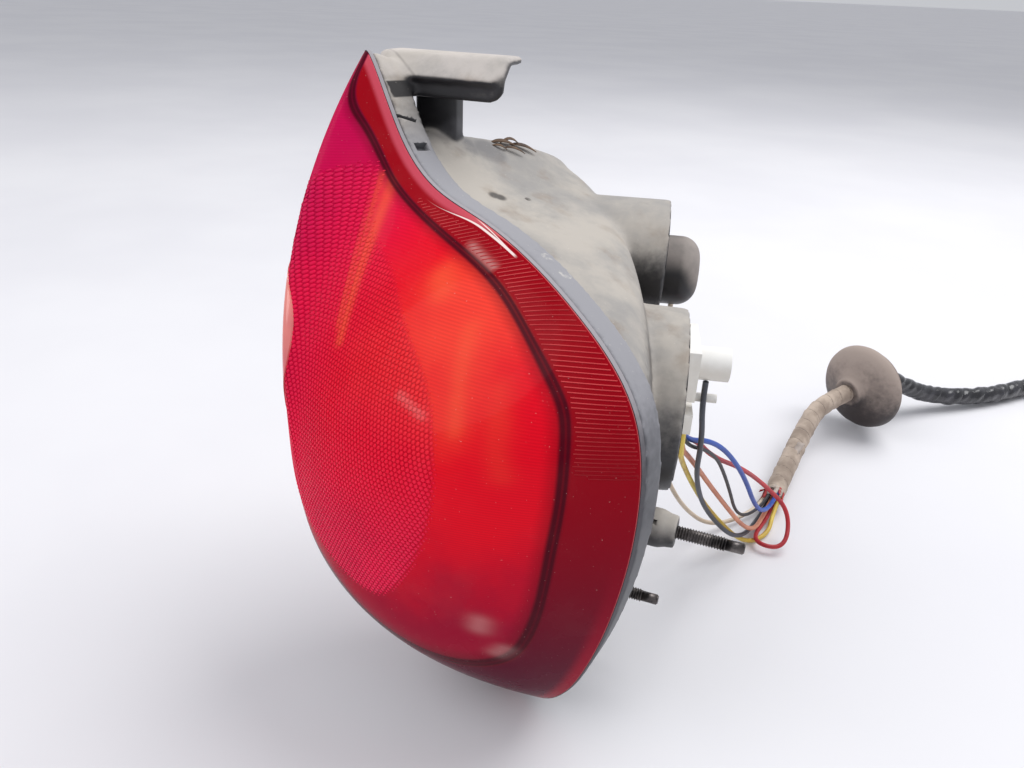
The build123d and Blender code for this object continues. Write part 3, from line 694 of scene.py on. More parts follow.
def pillow_finish():
    """Small lens pillows, a little pinker than the dome between them."""
    finish = Finish("red_pillows", Coat_Weight=0.06, Coat_Roughness=0.2, Specular_IOR_Level=0.08)
    height = lens_place(finish)[1]
    drift = finish.place().noise(60.0).step(0.3, 0.7, -0.05, 0.05)
    colour = (height.step(60.0, 140.0, 0.75, 0.15) + drift).blend(dome_red(finish), rgb(255, 44, 92))
    # Painted light streaks and pale painted glows, as on the dome.
    colour = finish.attribute("warm").blend(colour, PAINTED_STREAK_COLOUR)
    colour = finish.attribute("pale").blend(colour, PAINTED_GLOW_COLOUR)
    finish.set("Base Color", colour)
    finish.set("Roughness", finish.place().noise(60.0).step(0.3, 0.7, 0.34, 0.46))
    return finish.material


def rib_finish():
    """Ribs of the dark band, with a painted pink highlight at the top, lost in the band lower down."""
    finish = Finish("red_ribs", Coat_Weight=0.1, Coat_Roughness=0.2, Specular_IOR_Level=0.1)
    height = lens_place(finish)[1]
    drift = finish.place().noise(50.0)
    # Painted highlight on the ribs near the top, in patches.
    light = height.step(112.0, 146.0) * drift.step(0.25, 0.7, 0.3, 0.8)
    finish.set("Base Color", light.blend(band_red(height), rgb(226, 84, 86)))
    finish.set("Roughness", drift.step(0.3, 0.7, 0.28, 0.4))
    return finish.material


def make_lens():
    """Smooth shell of the lens with its rim turned in, and what its finish reads."""
    loop = spline_loop(RIM_POINTS, LENS_COLUMNS)
    flats = [moved_in(loop, inwards) for inwards, _ in LENS_EDGE]
    heights = [height for _, height in LENS_EDGE]
    for turn in np.radians(np.linspace(5.0, 89.3, LENS_ROWS)):
        flats.append(scaled(loop, LENS_CENTRE, math.cos(turn) ** (2 / LENS_POWER)))
        heights.append(LENS_DEPTH * math.sin(turn) ** 2)
    vertices = np.vstack([rim_ring(flat, height) for flat, height in zip(flats, heights)])
    piece = new_object("red_lens_shell", vertices, ring_faces(len(flats), len(loop), cap_end=True))
    flat = np.vstack(flats)
    past_inside = -side_of_loop(flat, spline_loop(LINE_INSIDE, 260))
    before_outside = side_of_loop(flat, spline_loop(LINE_OUTSIDE, 260))
    line = past_inside / np.maximum(past_inside + before_outside, 0.4)
    to_rim = side_of_loop(flat, loop)
    from_rim = np.hypot(np.maximum(to_rim, 0), np.repeat(np.array(heights), len(loop)))
    rib_limits = [
        line - RIB_LINE_GAP,
        to_rim - RIB_RIM_GAP,
        flat[:, 1] - RIB_LOWEST,
        flat[:, 0] - RIB_FIRST,
        from_rim - np.interp(flat[:, 0], RIB_END_ACROSS, RIB_END),
    ]
    seen = {
        "line": np.clip(line, -20, 20),
        "rim": from_rim,
        "pillow": side_of_loop(flat, spline_loop(PILLOW_FIELD, 200)),
        # The lens's painted light: warm streaks, and pale glows and sheen.
        "warm": near_marks(flat, PAINTED_LIGHT_STREAKS),
        "pale": near_marks(flat, PAINTED_GLOWS),
        "ribbed": np.clip(np.minimum.reduce(rib_limits), -3, 3),
    }
    for name, values in seen.items():
        add_attribute(piece, name, values)
    return piece


def named_value(recipe, name, kind="FLOAT"):
    return recipe.input("Geometry").geometry("InputNamedAttribute", data_type=kind, Name=name)


def thrown_on_lens(recipe, points, mask):
    """Points of the rim plane thrown onto the lens, which keep its facing and some of its own values."""
    lens = recipe.input("Geometry")
    middle = RIM_FOOT + RIM_ACROSS * LENS_CENTRE[0] + RIM_UP * LENS_MIDDLE_HEIGHT + RIM_OUT * 2 * LENS_DEPTH
    turn = (math.radians(90), 0, RIM_TURN - math.radians(90))
    placed = points.then("Transform", Translation=tuple(middle * MM), Rotation=turn)
    # Besides the mask, the painted light streaks and pale painted glows go with the points.
    for name in (mask, "warm", "pale"):
        ray = lens.geometry(
            "Raycast",
            output="Attribute",
            data_type="FLOAT",
            Target_Geometry=lens,
            Attribute=named_value(recipe, name),
            Ray_Direction=tuple(-RIM_OUT),
            Ray_Length=3 * LENS_DEPTH * MM,
        )
        placed = placed.then("StoreNamedAttribute", data_type="FLOAT", domain="POINT", Name=name, Value=ray)
    normal = ray.also("Hit Normal")
    faced = placed.then(
        "StoreNamedAttribute", data_type="FLOAT_VECTOR", domain="POINT", Name="facing", Value=normal
    )
    return faced.then("SetPosition", Position=ray.also("Hit Position"))


def make_pillows(lens, material):
    """Field of small low pillows on the lens, set in staggered rows and drawn out on the steep sides."""
    recipe = Recipe(
        "lens_pillows",
        Pitch=PILLOW_PITCH * MM,
        Height=PILLOW_HEIGHT * MM,
        Columns=PILLOW_COLUMNS,
        Rows=PILLOW_ROWS,
    )
    pitch = recipe.input("Pitch")
    columns = recipe.input("Columns")
    rows = recipe.input("Rows")
    grid = pitch.geometry(
        "MeshGrid",
        Size_X=columns * pitch,
        Size_Y=rows * pitch * PILLOW_ROW_SHARE,
        Vertices_X=columns,
        Vertices_Y=rows,
    )
    odd = pitch.geometry("InputIndex").sum_with("MODULO", rows).sum_with("MODULO", 2.0)
    staggered = grid.then("SetPosition", Offset=pitch.vector(X=odd * pitch * 0.5))
    points = thrown_on_lens(recipe, staggered, "pillow")
    pillow = pitch.geometry(
        "MeshCone",
        fill_type="NGON",
        Vertices=6,
        Radius_Top=pitch * PILLOW_TOP_SHARE,
        Radius_Bottom=pitch * PILLOW_FOOT_SHARE,
        Depth=recipe.input("Height"),
    )
    facing = named_value(recipe, "facing", "FLOAT_VECTOR")
    upright = facing.make("FunctionNodeAlignRotationToVector", {"Vector": facing}, axis="Z")
    turn_inputs = {"Rotation": upright, "Vector": tuple(RIM_OUT)}
    turned = facing.make("FunctionNodeAlignRotationToVector", turn_inputs, axis="X", pivot_axis="Z")
    inside = named_value(recipe, "pillow")
    size = inside.step(0.0, 2.5, 0.4, 1.0)
    stretch = facing.dot(RIM_OUT).sum_with("MAXIMUM", 0.3).sum_with("POWER", -1.0)
    spread = points.then(
        "InstanceOnPoints",
        Selection=inside.sum_with("GREATER_THAN", 0.0),
        Instance=pillow,
        Rotation=turned,
        Scale=facing.vector(X=size * stretch, Y=size, Z=1.0),
    )
    return recipe.run(spread, material, lens.data)


def make_ribs(lens, material):
    """Ribs across the dark band of the lens, nearly level on the right and falling to the left."""
    recipe = Recipe(
        "lens_ribs", Pitch=RIB_PITCH * MM, Radius=RIB_RADIUS * MM, Count=RIB_COUNT, Points=RIB_POINTS
    )
    pitch = recipe.input("Pitch")
    count = recipe.input("Count")
    low = pitch.vector(Y=pitch * (count * -0.5) + RIB_MIDDLE * MM)
    rows = pitch.geometry("MeshLine", Count=count, Start_Location=low, Offset=pitch.vector(Y=pitch))
    reach = RIB_REACH * MM
    level = pitch.geometry("CurvePrimitiveLine", Start=(-reach, 0, 0), End=(reach, 0, 0))
    lines = rows.then("InstanceOnPoints", Instance=level).then("RealizeInstances")
    lines = lines.then("ResampleCurve", Count=recipe.input("Points"))
    across = pitch.geometry("InputPosition").part("X") / MM + LENS_CENTRE[0]
    bend = ((across - RIB_BEND_PLACE) / RIB_BEND_REACH).sum_with("COSH").sum_with("LOGARITHM", math.e)
    rise = across * RIB_SLOPE - bend * RIB_BEND_REACH * RIB_BEND
    lines = lines.then("SetPosition", Offset=pitch.vector(Y=rise * MM))
    lines = thrown_on_lens(recipe, lines, "ribbed")
    hidden = named_value(recipe, "ribbed").sum_with("LESS_THAN", 0.001)
    kept = lines.then("DeleteGeometry", domain="POINT", Selection=hidden)
    section = pitch.geometry("CurvePrimitiveCircle", Resolution=5, Radius=recipe.input("Radius"))
    ribs = kept.then("CurveToMesh", Profile_Curve=section, Fill_Caps=True)
    return recipe.run(ribs, material, lens.data)


def stud_thread(radius, pitch, depth, length):
    """Ridge of the thread, wound round the stud."""
    ridge = depth * 0.6
    coil = radius.geometry(
        "CurveSpiral",
        Resolution=28,
        Rotations=length / pitch,
        Start_Radius=radius - ridge,
        End_Radius=radius - ridge,
        Height=length,
    )
    coil = coil.then("SetCurveNormal", mode="Z_UP")
    section = radius.geometry("CurvePrimitiveCircle", Resolution=4, Radius=ridge)
    return coil.then("CurveToMesh", Profile_Curve=section, Fill_Caps=True)


def stud_bar(radius, depth, middle):
    """Plain round bar of the stud about a middle height."""
    bar = radius.geometry("MeshCylinder", Vertices=STUD_COLUMNS, Radius=radius, Depth=depth)
    return bar.then("Transform", Translation=middle.vector(Z=middle))


def make_studs(material):
    """Two studs with a cut thread and a plain point, from one recipe."""
    recipe = Recipe(
        "threaded_studs",
        Radius=STUD_RADIUS * MM,
        Pitch=STUD_THREAD_PITCH * MM,
        Depth=STUD_THREAD_DEPTH * MM,
        Length=STUD_THREAD_LENGTH * MM,
        Point=STUD_POINT_RADIUS * MM,
    )
    radius = recipe.input("Radius")
    depth = recipe.input("Depth")
    length = recipe.input("Length")
    point_radius = recipe.input("Point")
    sunk = STUD_SUNK * MM
    core_length = length + sunk
    chamfer = STUD_CHAMFER * MM
    straight = STUD_POINT_LENGTH * MM - chamfer
    tip = radius.geometry(
        "MeshCone",
        fill_type="NGON",
        Vertices=STUD_COLUMNS,
        Radius_Top=point_radius - chamfer,
        Radius_Bottom=point_radius,
        Depth=chamfer,
    )
    shapes = [
        stud_thread(radius, recipe.input("Pitch"), depth, length),
        stud_bar(radius - depth, core_length, core_length * 0.5 - sunk),
        stud_bar(point_radius, straight, length + straight * 0.5),
        tip.then("Transform", Translation=radius.vector(Z=length + straight)),
    ]
    stud = radius.geometry("JoinGeometry", Geometry=shapes)
    lying = (0, math.radians(90), 0)
    studs = []
    for seat in (UPPER_STUD_SEAT, LOWER_STUD_SEAT):
        studs.append(stud.then("Transform", Translation=tuple(metres(seat)), Rotation=lying))
    return recipe.run(radius.geometry("JoinGeometry", Geometry=studs), material)


def lathe(profile, columns, origin, direction):
    """Closed shape turned about an axis; the profile gives (distance along, radius) in millimetres."""
    axis = Vector(direction).normalized()
    side = axis.orthogonal().normalized()
    other = axis.cross(side)
    rows = []
    for along, radius in profile:
        for c in range(columns):
            angle = 2 * math.pi * c / columns
            spoke = side * math.cos(angle) + other * math.sin(angle)
            rows.append((Vector(origin) + axis * along + spoke * radius) * MM)
    return rows, ring_faces(len(profile), columns, cap_start=True, cap_end=True)


def flange_distance(origin, direction, spokes):
    """How far back along a direction each spoke's line meets the flange floor."""
    heights = (np.array(origin) + spokes - RIM_FOOT) @ RIM_OUT
    return (-FLANGE_DEPTH - heights) / (direction @ RIM_OUT)


def bar_to_flange(origin, direction, profile, length, bore=None, columns=128):
    """Round bar or tube along a direction; its back end stops at the flange floor."""
    side = np.cross(RIM_UP, direction)
    angles = np.linspace(0, 2 * math.pi, columns, endpoint=False)[:, None]
    spokes = side * np.cos(angles) + RIM_UP * np.sin(angles)

    def ring(radius, reach):
        return (np.array(origin) + spokes * radius + reach * direction) * MM

    def back_ring(radius):
        reach = np.maximum(-length, flange_distance(origin, direction, spokes * radius))
        return ring(radius, reach[:, None])

    rows = [back_ring(profile[0][1])]
    for along, radius in profile[1:]:
        rows.append(ring(radius, along))
    if bore is None:
        return stacked(rows)
    rows += [ring(bore, profile[-1][0]), back_ring(bore)]
    return np.vstack(rows), ring_faces(len(rows), columns, wrap=True)


def stacked(rings):
    """Closed shape through a stack of rings of equal size."""
    return np.vstack(rings), ring_faces(len(rings), len(rings[0]), cap_start=True, cap_end=True)


def prism(profile, stations):
    """Closed shape along X with a (y, z) profile; each station may lower the profile's foot a little."""
    rings = []
    for x, ragged in stations:
        ring = []
        for y, z, at_foot in profile:
            ring.append(np.array([x, y - ragged * at_foot, z - ragged * at_foot]) * MM)
        rings.append(ring)
    return stacked(rings)


def block(middle, axes, sizes):
    """Closed box with its own axes, for a cut."""
    corners = []
    for along in (-0.5, 0.5):
        for across, up in ((-0.5, -0.5), (0.5, -0.5), (0.5, 0.5), (-0.5, 0.5)):
            offset = np.array((across, up, along)) * sizes
            corners.append((np.array(middle) + offset @ np.array(axes)) * MM)
    return corners, ring_faces(2, 4, cap_start=True, cap_end=True)


def joined(name, shapes):
    """One object from several closed shapes."""
    vertices, faces = [], []
    for shape_vertices, shape_faces in shapes:
        first = len(vertices)
        vertices.extend(tuple(v) for v in shape_vertices)
        faces.extend(tuple(first + i for i in face) for face in shape_faces)
    return new_object(name, vertices, faces)


def with_modifiers(piece, *settings):
    """The piece with some modifiers worked into a plain mesh."""
    for kind, values in settings:
        modifier = piece.modifiers.new(kind, kind)
        for name, value in values.items():
            setattr(modifier, name, value)
    work_in(piece)
    piece.data.shade_smooth()
    return piece


def tab_apron():
    """Sloping apron with a shelf, a ragged foot and a notch at its end."""
    profile = [
        (TAB_FRONT, TAB_FOOT, 1.0),
        (TAB_CREST, TAB_TOP, 0.0),
        (TAB_CREST + TAB_SHELF, TAB_TOP, 0.0),
        (TAB_CREST + TAB_SHELF, TAB_TOP - TAB_WALL, 0.0),
        (TAB_CREST + TAB_WALL, TAB_TOP - TAB_WALL, 0.0),
        (TAB_FRONT + TAB_LIP_SETBACK + TAB_WALL, TAB_FOOT, 0.0),
    ]
    draws = np.random.default_rng(4)
    stations = []
    for x in np.linspace(TAB_START, TAB_END - TAB_NOTCH, TAB_STATIONS):
        stations.append((x, draws.uniform(*TAB_RAGGED)))
    stations.append((TAB_END - TAB_NOTCH + 0.2, -TAB_NOTCH))
    stations.append((TAB_END, -TAB_NOTCH))
    return prism(profile[::-1], stations)


def tab_lip():
    """Turned-down lip with a round end."""
    front = TAB_FRONT + TAB_LIP_SETBACK
    low = TAB_FOOT - TAB_LIP_DROP
    top = TAB_FOOT + TAB_LIP_OVERLAP
    lip_end = []
    for angle in np.radians(np.linspace(0, 90, 9)):
        x = TAB_END - TAB_LIP_ROUND + TAB_LIP_ROUND * math.sin(angle)
        lip_end.append((x, low + TAB_LIP_ROUND - TAB_LIP_ROUND * math.cos(angle)))
    outline = [(TAB_START, top), (TAB_START, low)] + lip_end + [(TAB_END, top)]
    rings = []
    for y in (front + TAB_WALL, front):
        rings.append([np.array([x, y, z]) * MM for x, z in outline])
    return stacked(rings)


def tab_web():
    """Wall that carries the tab."""
    middle = ((WEB_START + WEB_END) / 2, TAB_CREST + WEB_WALL / 2, (WEB_FOOT + WEB_TOP) / 2)
    sizes = (WEB_END - WEB_START, WEB_WALL, WEB_TOP - WEB_FOOT)
    return block(middle, np.eye(3), sizes)


def tab_corner():
    """Corner of the flange below the tab."""
    foot = TAB_CORNER_TOP - TAB_CORNER_DEPTH
    return stacked([rim_ring(TAB_CORNER, foot), rim_ring(TAB_CORNER, TAB_CORNER_TOP)])


def bucket_shape():
    """Deep rounded back of the housing."""
    base = spline_loop(BUCKET_POINTS, HOUSING_COLUMNS)
    rings = []
    for scale in np.linspace(BUCKET_TIP_SCALE, 1.0, BUCKET_ROWS):
        height = -FLANGE_DEPTH - BUCKET_DEPTH * (1 - scale**BUCKET_POWER)
        rings.append(rim_ring(scaled(base, BUCKET_CENTRE, scale), height))
    rings.append(rim_ring(base, -FLANGE_DEPTH + BUCKET_OVERLAP))
    return stacked(rings)


def collar_shape(place, radius, length, draft=0.0):
    """Round collar that a bulb holder sits in."""
    profile = [(-length, radius + draft), (0.0, radius)]
    return bar_to_flange(place, COLLAR_ALONG, profile, length, radius - HOUSING_WALL)


def pillar_shape(seat):
    """Pillar with a narrower tip, for a stud."""
    profile = [
        (-PILLAR_LENGTH, PILLAR_RADIUS),
        (-PILLAR_TIP_LENGTH, PILLAR_RADIUS),
        (-PILLAR_TIP_LENGTH, PILLAR_TIP_RADIUS),
        (0.0, PILLAR_TIP_RADIUS),
    ]
    return bar_to_flange(seat, STUD_ALONG, profile, PILLAR_LENGTH, columns=64)


def housing_shapes():
    """Closed shapes that the housing is moulded from."""
    rim = spline_loop(RIM_POINTS, HOUSING_COLUMNS)
    flange_foot = scaled(rim, FLANGE_CENTRE, FLANGE_TAPER)
    return [
        stacked([rim_ring(flange_foot, -FLANGE_DEPTH), rim_ring(rim, -SEAL_HEIGHT)]),
        bucket_shape(),
        collar_shape(MAIN_COLLAR_PLACE, MAIN_COLLAR_RADIUS, MAIN_COLLAR_LENGTH, MAIN_COLLAR_DRAFT),
        collar_shape(INDICATOR_COLLAR_PLACE, INDICATOR_COLLAR_RADIUS, INDICATOR_COLLAR_LENGTH),
        pillar_shape(UPPER_STUD_SEAT),
        pillar_shape(LOWER_STUD_SEAT),
        tab_apron(),
        tab_lip(),
        tab_web(),
        tab_corner(),
    ]


def housing_cuts():
    """Slit and clip hole in the flange, a small hole in the bucket and a slit in the upper pillar."""
    out = FLANGE_FACING
    back = -RIM_OUT + out * (RIM_OUT @ out)
    back /= np.linalg.norm(back)
    slit_out = np.cross(SLIT_ALONG, np.cross(out, SLIT_ALONG))
    slit_axes = (SLIT_ALONG, np.cross(slit_out, SLIT_ALONG), slit_out)
    drill = [(-3, BUCKET_HOLE_RADIUS), (3, BUCKET_HOLE_RADIUS)]
    cuts = [
        block(SLIT_PLACE, slit_axes, SLIT_SIZES),
        block(CLIP_HOLE_PLACE, (back, np.cross(out, back), out), CLIP_HOLE_SIZES),
        lathe(drill, 24, BUCKET_HOLE_PLACE, BUCKET_HOLE_ALONG),
        block(PILLAR_SLIT_PLACE, np.eye(3), PILLAR_SLIT_SIZES),
    ]
    return joined("housing_cuts", cuts)


def make_housing():
    """Housing with the soft inner corners of a moulding, and its cuts."""
    piece = joined("housing_moulding", housing_shapes())
    remesh = ("REMESH", {"mode": "VOXEL", "voxel_size": HOUSING_GRAIN * MM})
    smooth = ("SMOOTH", {"factor": 0.5, "iterations": 5})
    piece = with_modifiers(piece, remesh, smooth)
    cuts = housing_cuts()
    cut = ("BOOLEAN", {"operation": "DIFFERENCE", "object": cuts, "solver": "EXACT"})
    piece = with_modifiers(piece, cut)
    bpy.data.objects.remove(cuts)
    return piece


def housing_dust(finish, dust, smear):
    """Beige dust on the bucket, a smooth blue-grey strip by the lens and black below."""
    place = finish.place()
    out = place.dot(RIM_OUT) / MM - float(RIM_FOOT @ RIM_OUT)
    strip = out.step(-13.0, -11.4) * (place.part("Z") / MM).step(112.0, 130.0, 1.0, 0.0)
    brown = place.noise(70.0, 5.0).step(0.5, 0.75)
    dusty = (smear * 0.75).blend(rgb(186, 179, 170), rgb(148, 146, 145))
    dusty = (brown * 0.45).blend(dusty, rgb(138, 118, 100))
    # Painted shade along the crease where the flange meets the bucket.
    crease_shade = out.step(-13.4, -12.7) * out.step(-12.7, -12.0, 1.0, 0.0)
    dusty = (crease_shade * 0.5).blend(dusty, rgb(84, 78, 76))
    bucket = dust.blend(rgb(38, 37, 40), dusty)
    flange = (dust * 0.85).blend(rgb(58, 60, 66), rgb(164, 163, 168))
    return strip.blend(bucket, flange)


def housing_marks(finish, dust, smear):
    """Marks on the housing, each a share and a colour, in the order they are laid."""
    place = finish.place()
    height = place.part("Z") / MM
    depth = place.part("Y") / MM
    shade = place.spots(TAB_SHADE) * (1.0 - finish.normal().part("Z").step(0.2, 0.7))
    scuff = (place.spots(PALE_SCUFFS) + place.noise(420.0, 5.0) * 2.0 - 1.75).step(0.1, 0.6)
    # Near-black band on the side faces just below the tab.
    dark_band_below_tab = height.step(131.2, 131.8) * height.step(136.4, 137.0, 1.0, 0.0) * depth.step(31.5, 33.0)
    dark_band_below_tab = dark_band_below_tab * finish.normal().part("X").step(0.4, 0.6)
    tab_dust = dust * place.noise(55.0, 6.0, 0.65).step(0.36, 0.6, 0.25, 0.75)
    fleck = dust * place.noise(900.0, 2.0).step(0.7, 0.76)
    return [
        (shade * 0.9, rgb(24, 23, 26)),
        (place.spots(DARK_MARKS) * 0.8, rgb(48, 46, 48)),
        (scuff * 0.6, rgb(226, 220, 210)),
        (dark_band_below_tab * 0.95, rgb(26, 25, 28)),
        (place.spots(SLATE_SMEARS) * smear * 0.45, rgb(92, 92, 98)),
        (tab_dust * height.step(137.5, 139.5), rgb(206, 198, 192)),
        (fleck * 0.4, rgb(214, 208, 198)),
    ]


def housing_finish():
    """Black plastic under dust, with its marks."""
    finish = Finish("dusty_black_plastic")
    dust = finish.dust(-0.45, 0.9)
    smear = finish.place().noise(26.0, 6.0, 0.62).step(0.4, 0.66)
    colour = housing_dust(finish, dust, smear)
    for share, paint in housing_marks(finish, dust, smear):
        colour = share.blend(colour, paint)
    finish.set("Base Color", colour)
    finish.set("Roughness", dust.step(0.0, 1.0, 0.42, 0.85))
    finish.bump(finish.place().noise(260.0, 6.0), 0.12 * MM, 0.4)
    return finish.material


def rounded_copy(node, name, width):
    """Copy of a CAD node with its sharp edges rounded."""
    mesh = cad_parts[node].data.copy()
    shape = bmesh.new()
    shape.from_mesh(mesh)
    bmesh.ops.remove_doubles(shape, verts=shape.verts, dist=0.002 * MM)
    bmesh.ops.dissolve_limit(shape, angle_limit=math.radians(1), verts=shape.verts, edges=shape.edges)
    shape.to_mesh(mesh)
    shape.free()
    piece = linked(name, mesh)
    rounding = {"width": width * MM, "segments": 3, "limit_method": "ANGLE", "angle_limit": math.radians(40)}
    piece = with_modifiers(piece, ("BEVEL", rounding))
    piece.data.set_sharp_from_angle(angle=math.radians(35))
    return piece


def cord_curve(name, points, diameter=0.0):
    """Cord along some corner points, or its bare line if it has no diameter."""
    curve = bpy.data.curves.new(name, "CURVE")
    curve.dimensions = "3D"
    spline = curve.splines.new("NURBS")
    spline.points.add(len(points) - 1)
    for knot, point in zip(spline.points, points):
        knot.co = (point[0] * MM, point[1] * MM, point[2] * MM, 1.0)
    spline.order_u = 3
    spline.use_endpoint_u = True
    spline.resolution_u = 24 if diameter else 60
    curve.bevel_depth = diameter * MM / 2
    curve.bevel_resolution = 5
    curve.use_fill_caps = True
    return linked(name, curve)


def spline_line(points):
    """Points along the spline of a route, in metres."""
    piece = cord_curve("line", points)
    line = np.array([v.co for v in evaluated_mesh(piece).vertices])
    bpy.data.objects.remove(piece)
    return line


def taped_tube(name, points, diameter, pitch, lap_height, crinkle, seed):
    """Tube wound with tape that laps over itself, along the spline of a route."""
    line = spline_line(points)
    along = np.gradient(line, axis=0)
    along /= np.linalg.norm(along, axis=1)[:, None]
    travelled = travel(line) / MM
    angles = np.linspace(0, 2 * math.pi, TAPE_COLUMNS, endpoint=False)
    draws = np.random.default_rng(seed)
    waves = []
    for _ in range(TAPE_WAVES):
        waves.append((draws.uniform(0.2, 1.1), draws.integers(1, 6), draws.uniform(0, 2 * math.pi)))
    side = np.cross(along[0], RIM_UP)
    rows, laps = [], []
    for centre, forward, distance in zip(line, along, travelled):
        side = side - forward * (side @ forward)
        side /= np.linalg.norm(side)
        other = np.cross(forward, side)
        lap = (distance / pitch + angles / (2 * math.pi)) % 1.0
        swell = np.zeros(TAPE_COLUMNS)
        for rate, turns, phase in waves:
            swell += np.sin(rate * distance + turns * angles + phase) / TAPE_WAVES
        radius = diameter / 2 * (1 - lap_height * (1 - lap) + crinkle * (swell - 0.5))
        spokes = np.cos(angles)[:, None] * side + np.sin(angles)[:, None] * other
        rows.append(centre + spokes * radius[:, None] * MM)
        laps.append(lap)
    piece = new_object(name, *stacked(rows))
    add_attribute(piece, "lap", np.concatenate(laps))
    return piece, line


def ribbon(points, across, width, pointed=0.0):
    """Thin strip along some points, closed so that it has two sides, and narrow at its ends if pointed."""
    points = [np.array(p, float) for p in points]
    across = np.array(across, float)
    across /= np.linalg.norm(across)
    rings = []
    for i, point in enumerate(points):
        ahead_of = points[min(i + 1, len(points) - 1)] - points[max(i - 1, 0)]
        square = np.cross(ahead_of, across)
        square *= STRIP_HALF_THICKNESS / np.linalg.norm(square)
        from_middle = 2 * i / (len(points) - 1) - 1
        half = across * width / 2 * (1 - pointed * from_middle**2)
        ring = [point - half - square, point + half - square, point + half + square, point - half + square]
        rings.append([corner * MM for corner in ring])
    return stacked(rings)


def direction_of(start, end):
    return (Vector(end) - Vector(start)).normalized()


def from_collar(place, x, y, z):
    """World place of a point given along, across and over a collar's end."""
    return np.array(place) + COLLAR_ALONG * x + COLLAR_SIDE * y + RIM_UP * z


def leaves_below(place, x, y, z):
    start = from_collar(place, x, y, z)
    return [tuple(start), tuple(start - RIM_UP * WIRE_EXIT)]


def leaves_forward(place, x, y, z):
    start = from_collar(place, x, y, z)
    return [tuple(start), tuple(start + COLLAR_ALONG * WIRE_EXIT)]


def leaves_foot(column):
    return leaves_below(MAIN_COLLAR_PLACE, HOLDER_FOOT_OUT, column * WIRE_SPACING, HOLDER_FOOT_BELOW)


def wire_end(column, row):
    """Lead and end point of a wire in one place on the sheath's mouth."""
    along = direction_of(SHEATH_ROUTE[0], SHEATH_ROUTE[1])
    side = (Vector((1, 0, 0)) - along * along.x).normalized()
    below = along.cross(side)
    end = Vector(SHEATH_ROUTE[0]) + side * column * WIRE_CIRCLE / 2
    end += below * row * WIRE_CIRCLE * math.cos(math.radians(30))
    return [tuple(end - along * WIRE_LEAD), tuple(end)]


# Each wire: its start, the corner points between, its place in the sheath's mouth, diameter and length
WIRES = {
    "grey": (
        leaves_below(MAIN_COLLAR_PLACE, 8.476, -3.9, 10.468),
        [(0.3, 40.0, 15.9), (-0.9, 54.0, -10.6), (4.3, 80.0, -43.8), (21.4, 97.5, -69.0)],
        (-1, 1), WIRE_DIAMETER, 193.0,
    ),
    "orange": (
        leaves_foot(-0.8),
        [(-4.6, 52.0, 0.4), (7.6, 80.0, -32.8), (26.4, 107.7, -70.5)],
        (0, 0), WIRE_DIAMETER, 172.0,
    ),
    "blue": (
        leaves_foot(1.2),
        [(4.5, 58.0, 7.0), (16.6, 80.0, -17.4), (27.2, 112.0, -58.5)],
        (1, -1), WIRE_DIAMETER, 163.0,
    ),
    "red": (
        leaves_forward(MAIN_COLLAR_PLACE, 0.0, 12.0, -22.0),
        [
            (3.7, 66.0, -6.0), (16.3, 94.0, -24.8), (28.9, 120.0, -47.5), (43.0, 128.0, -64.0),
            (44.0, 109.0, -75.0), (26.5, 109.0, -74.5),
        ],
        (1, 1), WIRE_DIAMETER, 202.0,
    ),
    "yellow": (
        leaves_foot(-2.0),
        [
            (-6.4, 46.0, 0.5), (-1.8, 64.0, -21.1), (5.6, 90.0, -49.6), (23.5, 109.3, -77.6),
            (35.1, 122.4, -77.6),
        ],
        (2, 0), WIRE_DIAMETER, 182.0,
    ),
    "black": (
        leaves_foot(0.2),
        [(4.6, 56.0, 2.9), (11.2, 78.0, -23.0), (18.8, 104.0, -60.5)],
        (-1, -1), THIN_WIRE_DIAMETER, 166.0,
    ),
    "beige": (
        leaves_below(INDICATOR_COLLAR_PLACE, 5.0, 0.0, -19.5),
        [(-21.9, 80.0, 11.3), (-19.6, 82.0, -24.1), (-8.6, 96.0, -54.9), (7.5, 114.0, -75.9)],
        (-2, 0), WIRE_DIAMETER, 190.0,
    ),
}
WIRE_COLOURS = {
    "grey": (rgb(70, 74, 84), rgb(48, 50, 58)),
    "orange": (rgb(222, 150, 118), rgb(190, 112, 84)),
    "blue": (rgb(52, 96, 190), rgb(34, 66, 150)),
    "red": (rgb(206, 50, 58), rgb(160, 28, 40)),
    "yellow": (rgb(226, 200, 90), rgb(196, 160, 50)),
    "black": (rgb(52, 50, 54), rgb(28, 28, 30)),
    "beige": (rgb(222, 206, 186), rgb(190, 172, 150)),
}


def show(piece, slot, material, *nodes):
    """Gives a piece its finish and puts it in the place of CAD nodes."""
    piece.data.materials.clear()
    piece.data.materials.append(material)
    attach(piece, "root")
    if nodes:
        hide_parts(*nodes)
    return piece


def metres(point):
    return [c * MM for c in point]


def make_wires():
    for colour, (start, middle, (column, row), diameter, length) in WIRES.items():
        points = start + middle + wire_end(column, row)
        name = "wire_" + colour
        piece = cord_curve(name + "_cord", points, diameter)
        light, dark = WIRE_COLOURS[colour]
        finish = plain_finish(name + "_insulation", light, dark, 60.0, 0.42)
        show(piece, colour + "_insulation", finish, name)
        metres(points[0])
        length * MM
        diameter * MM


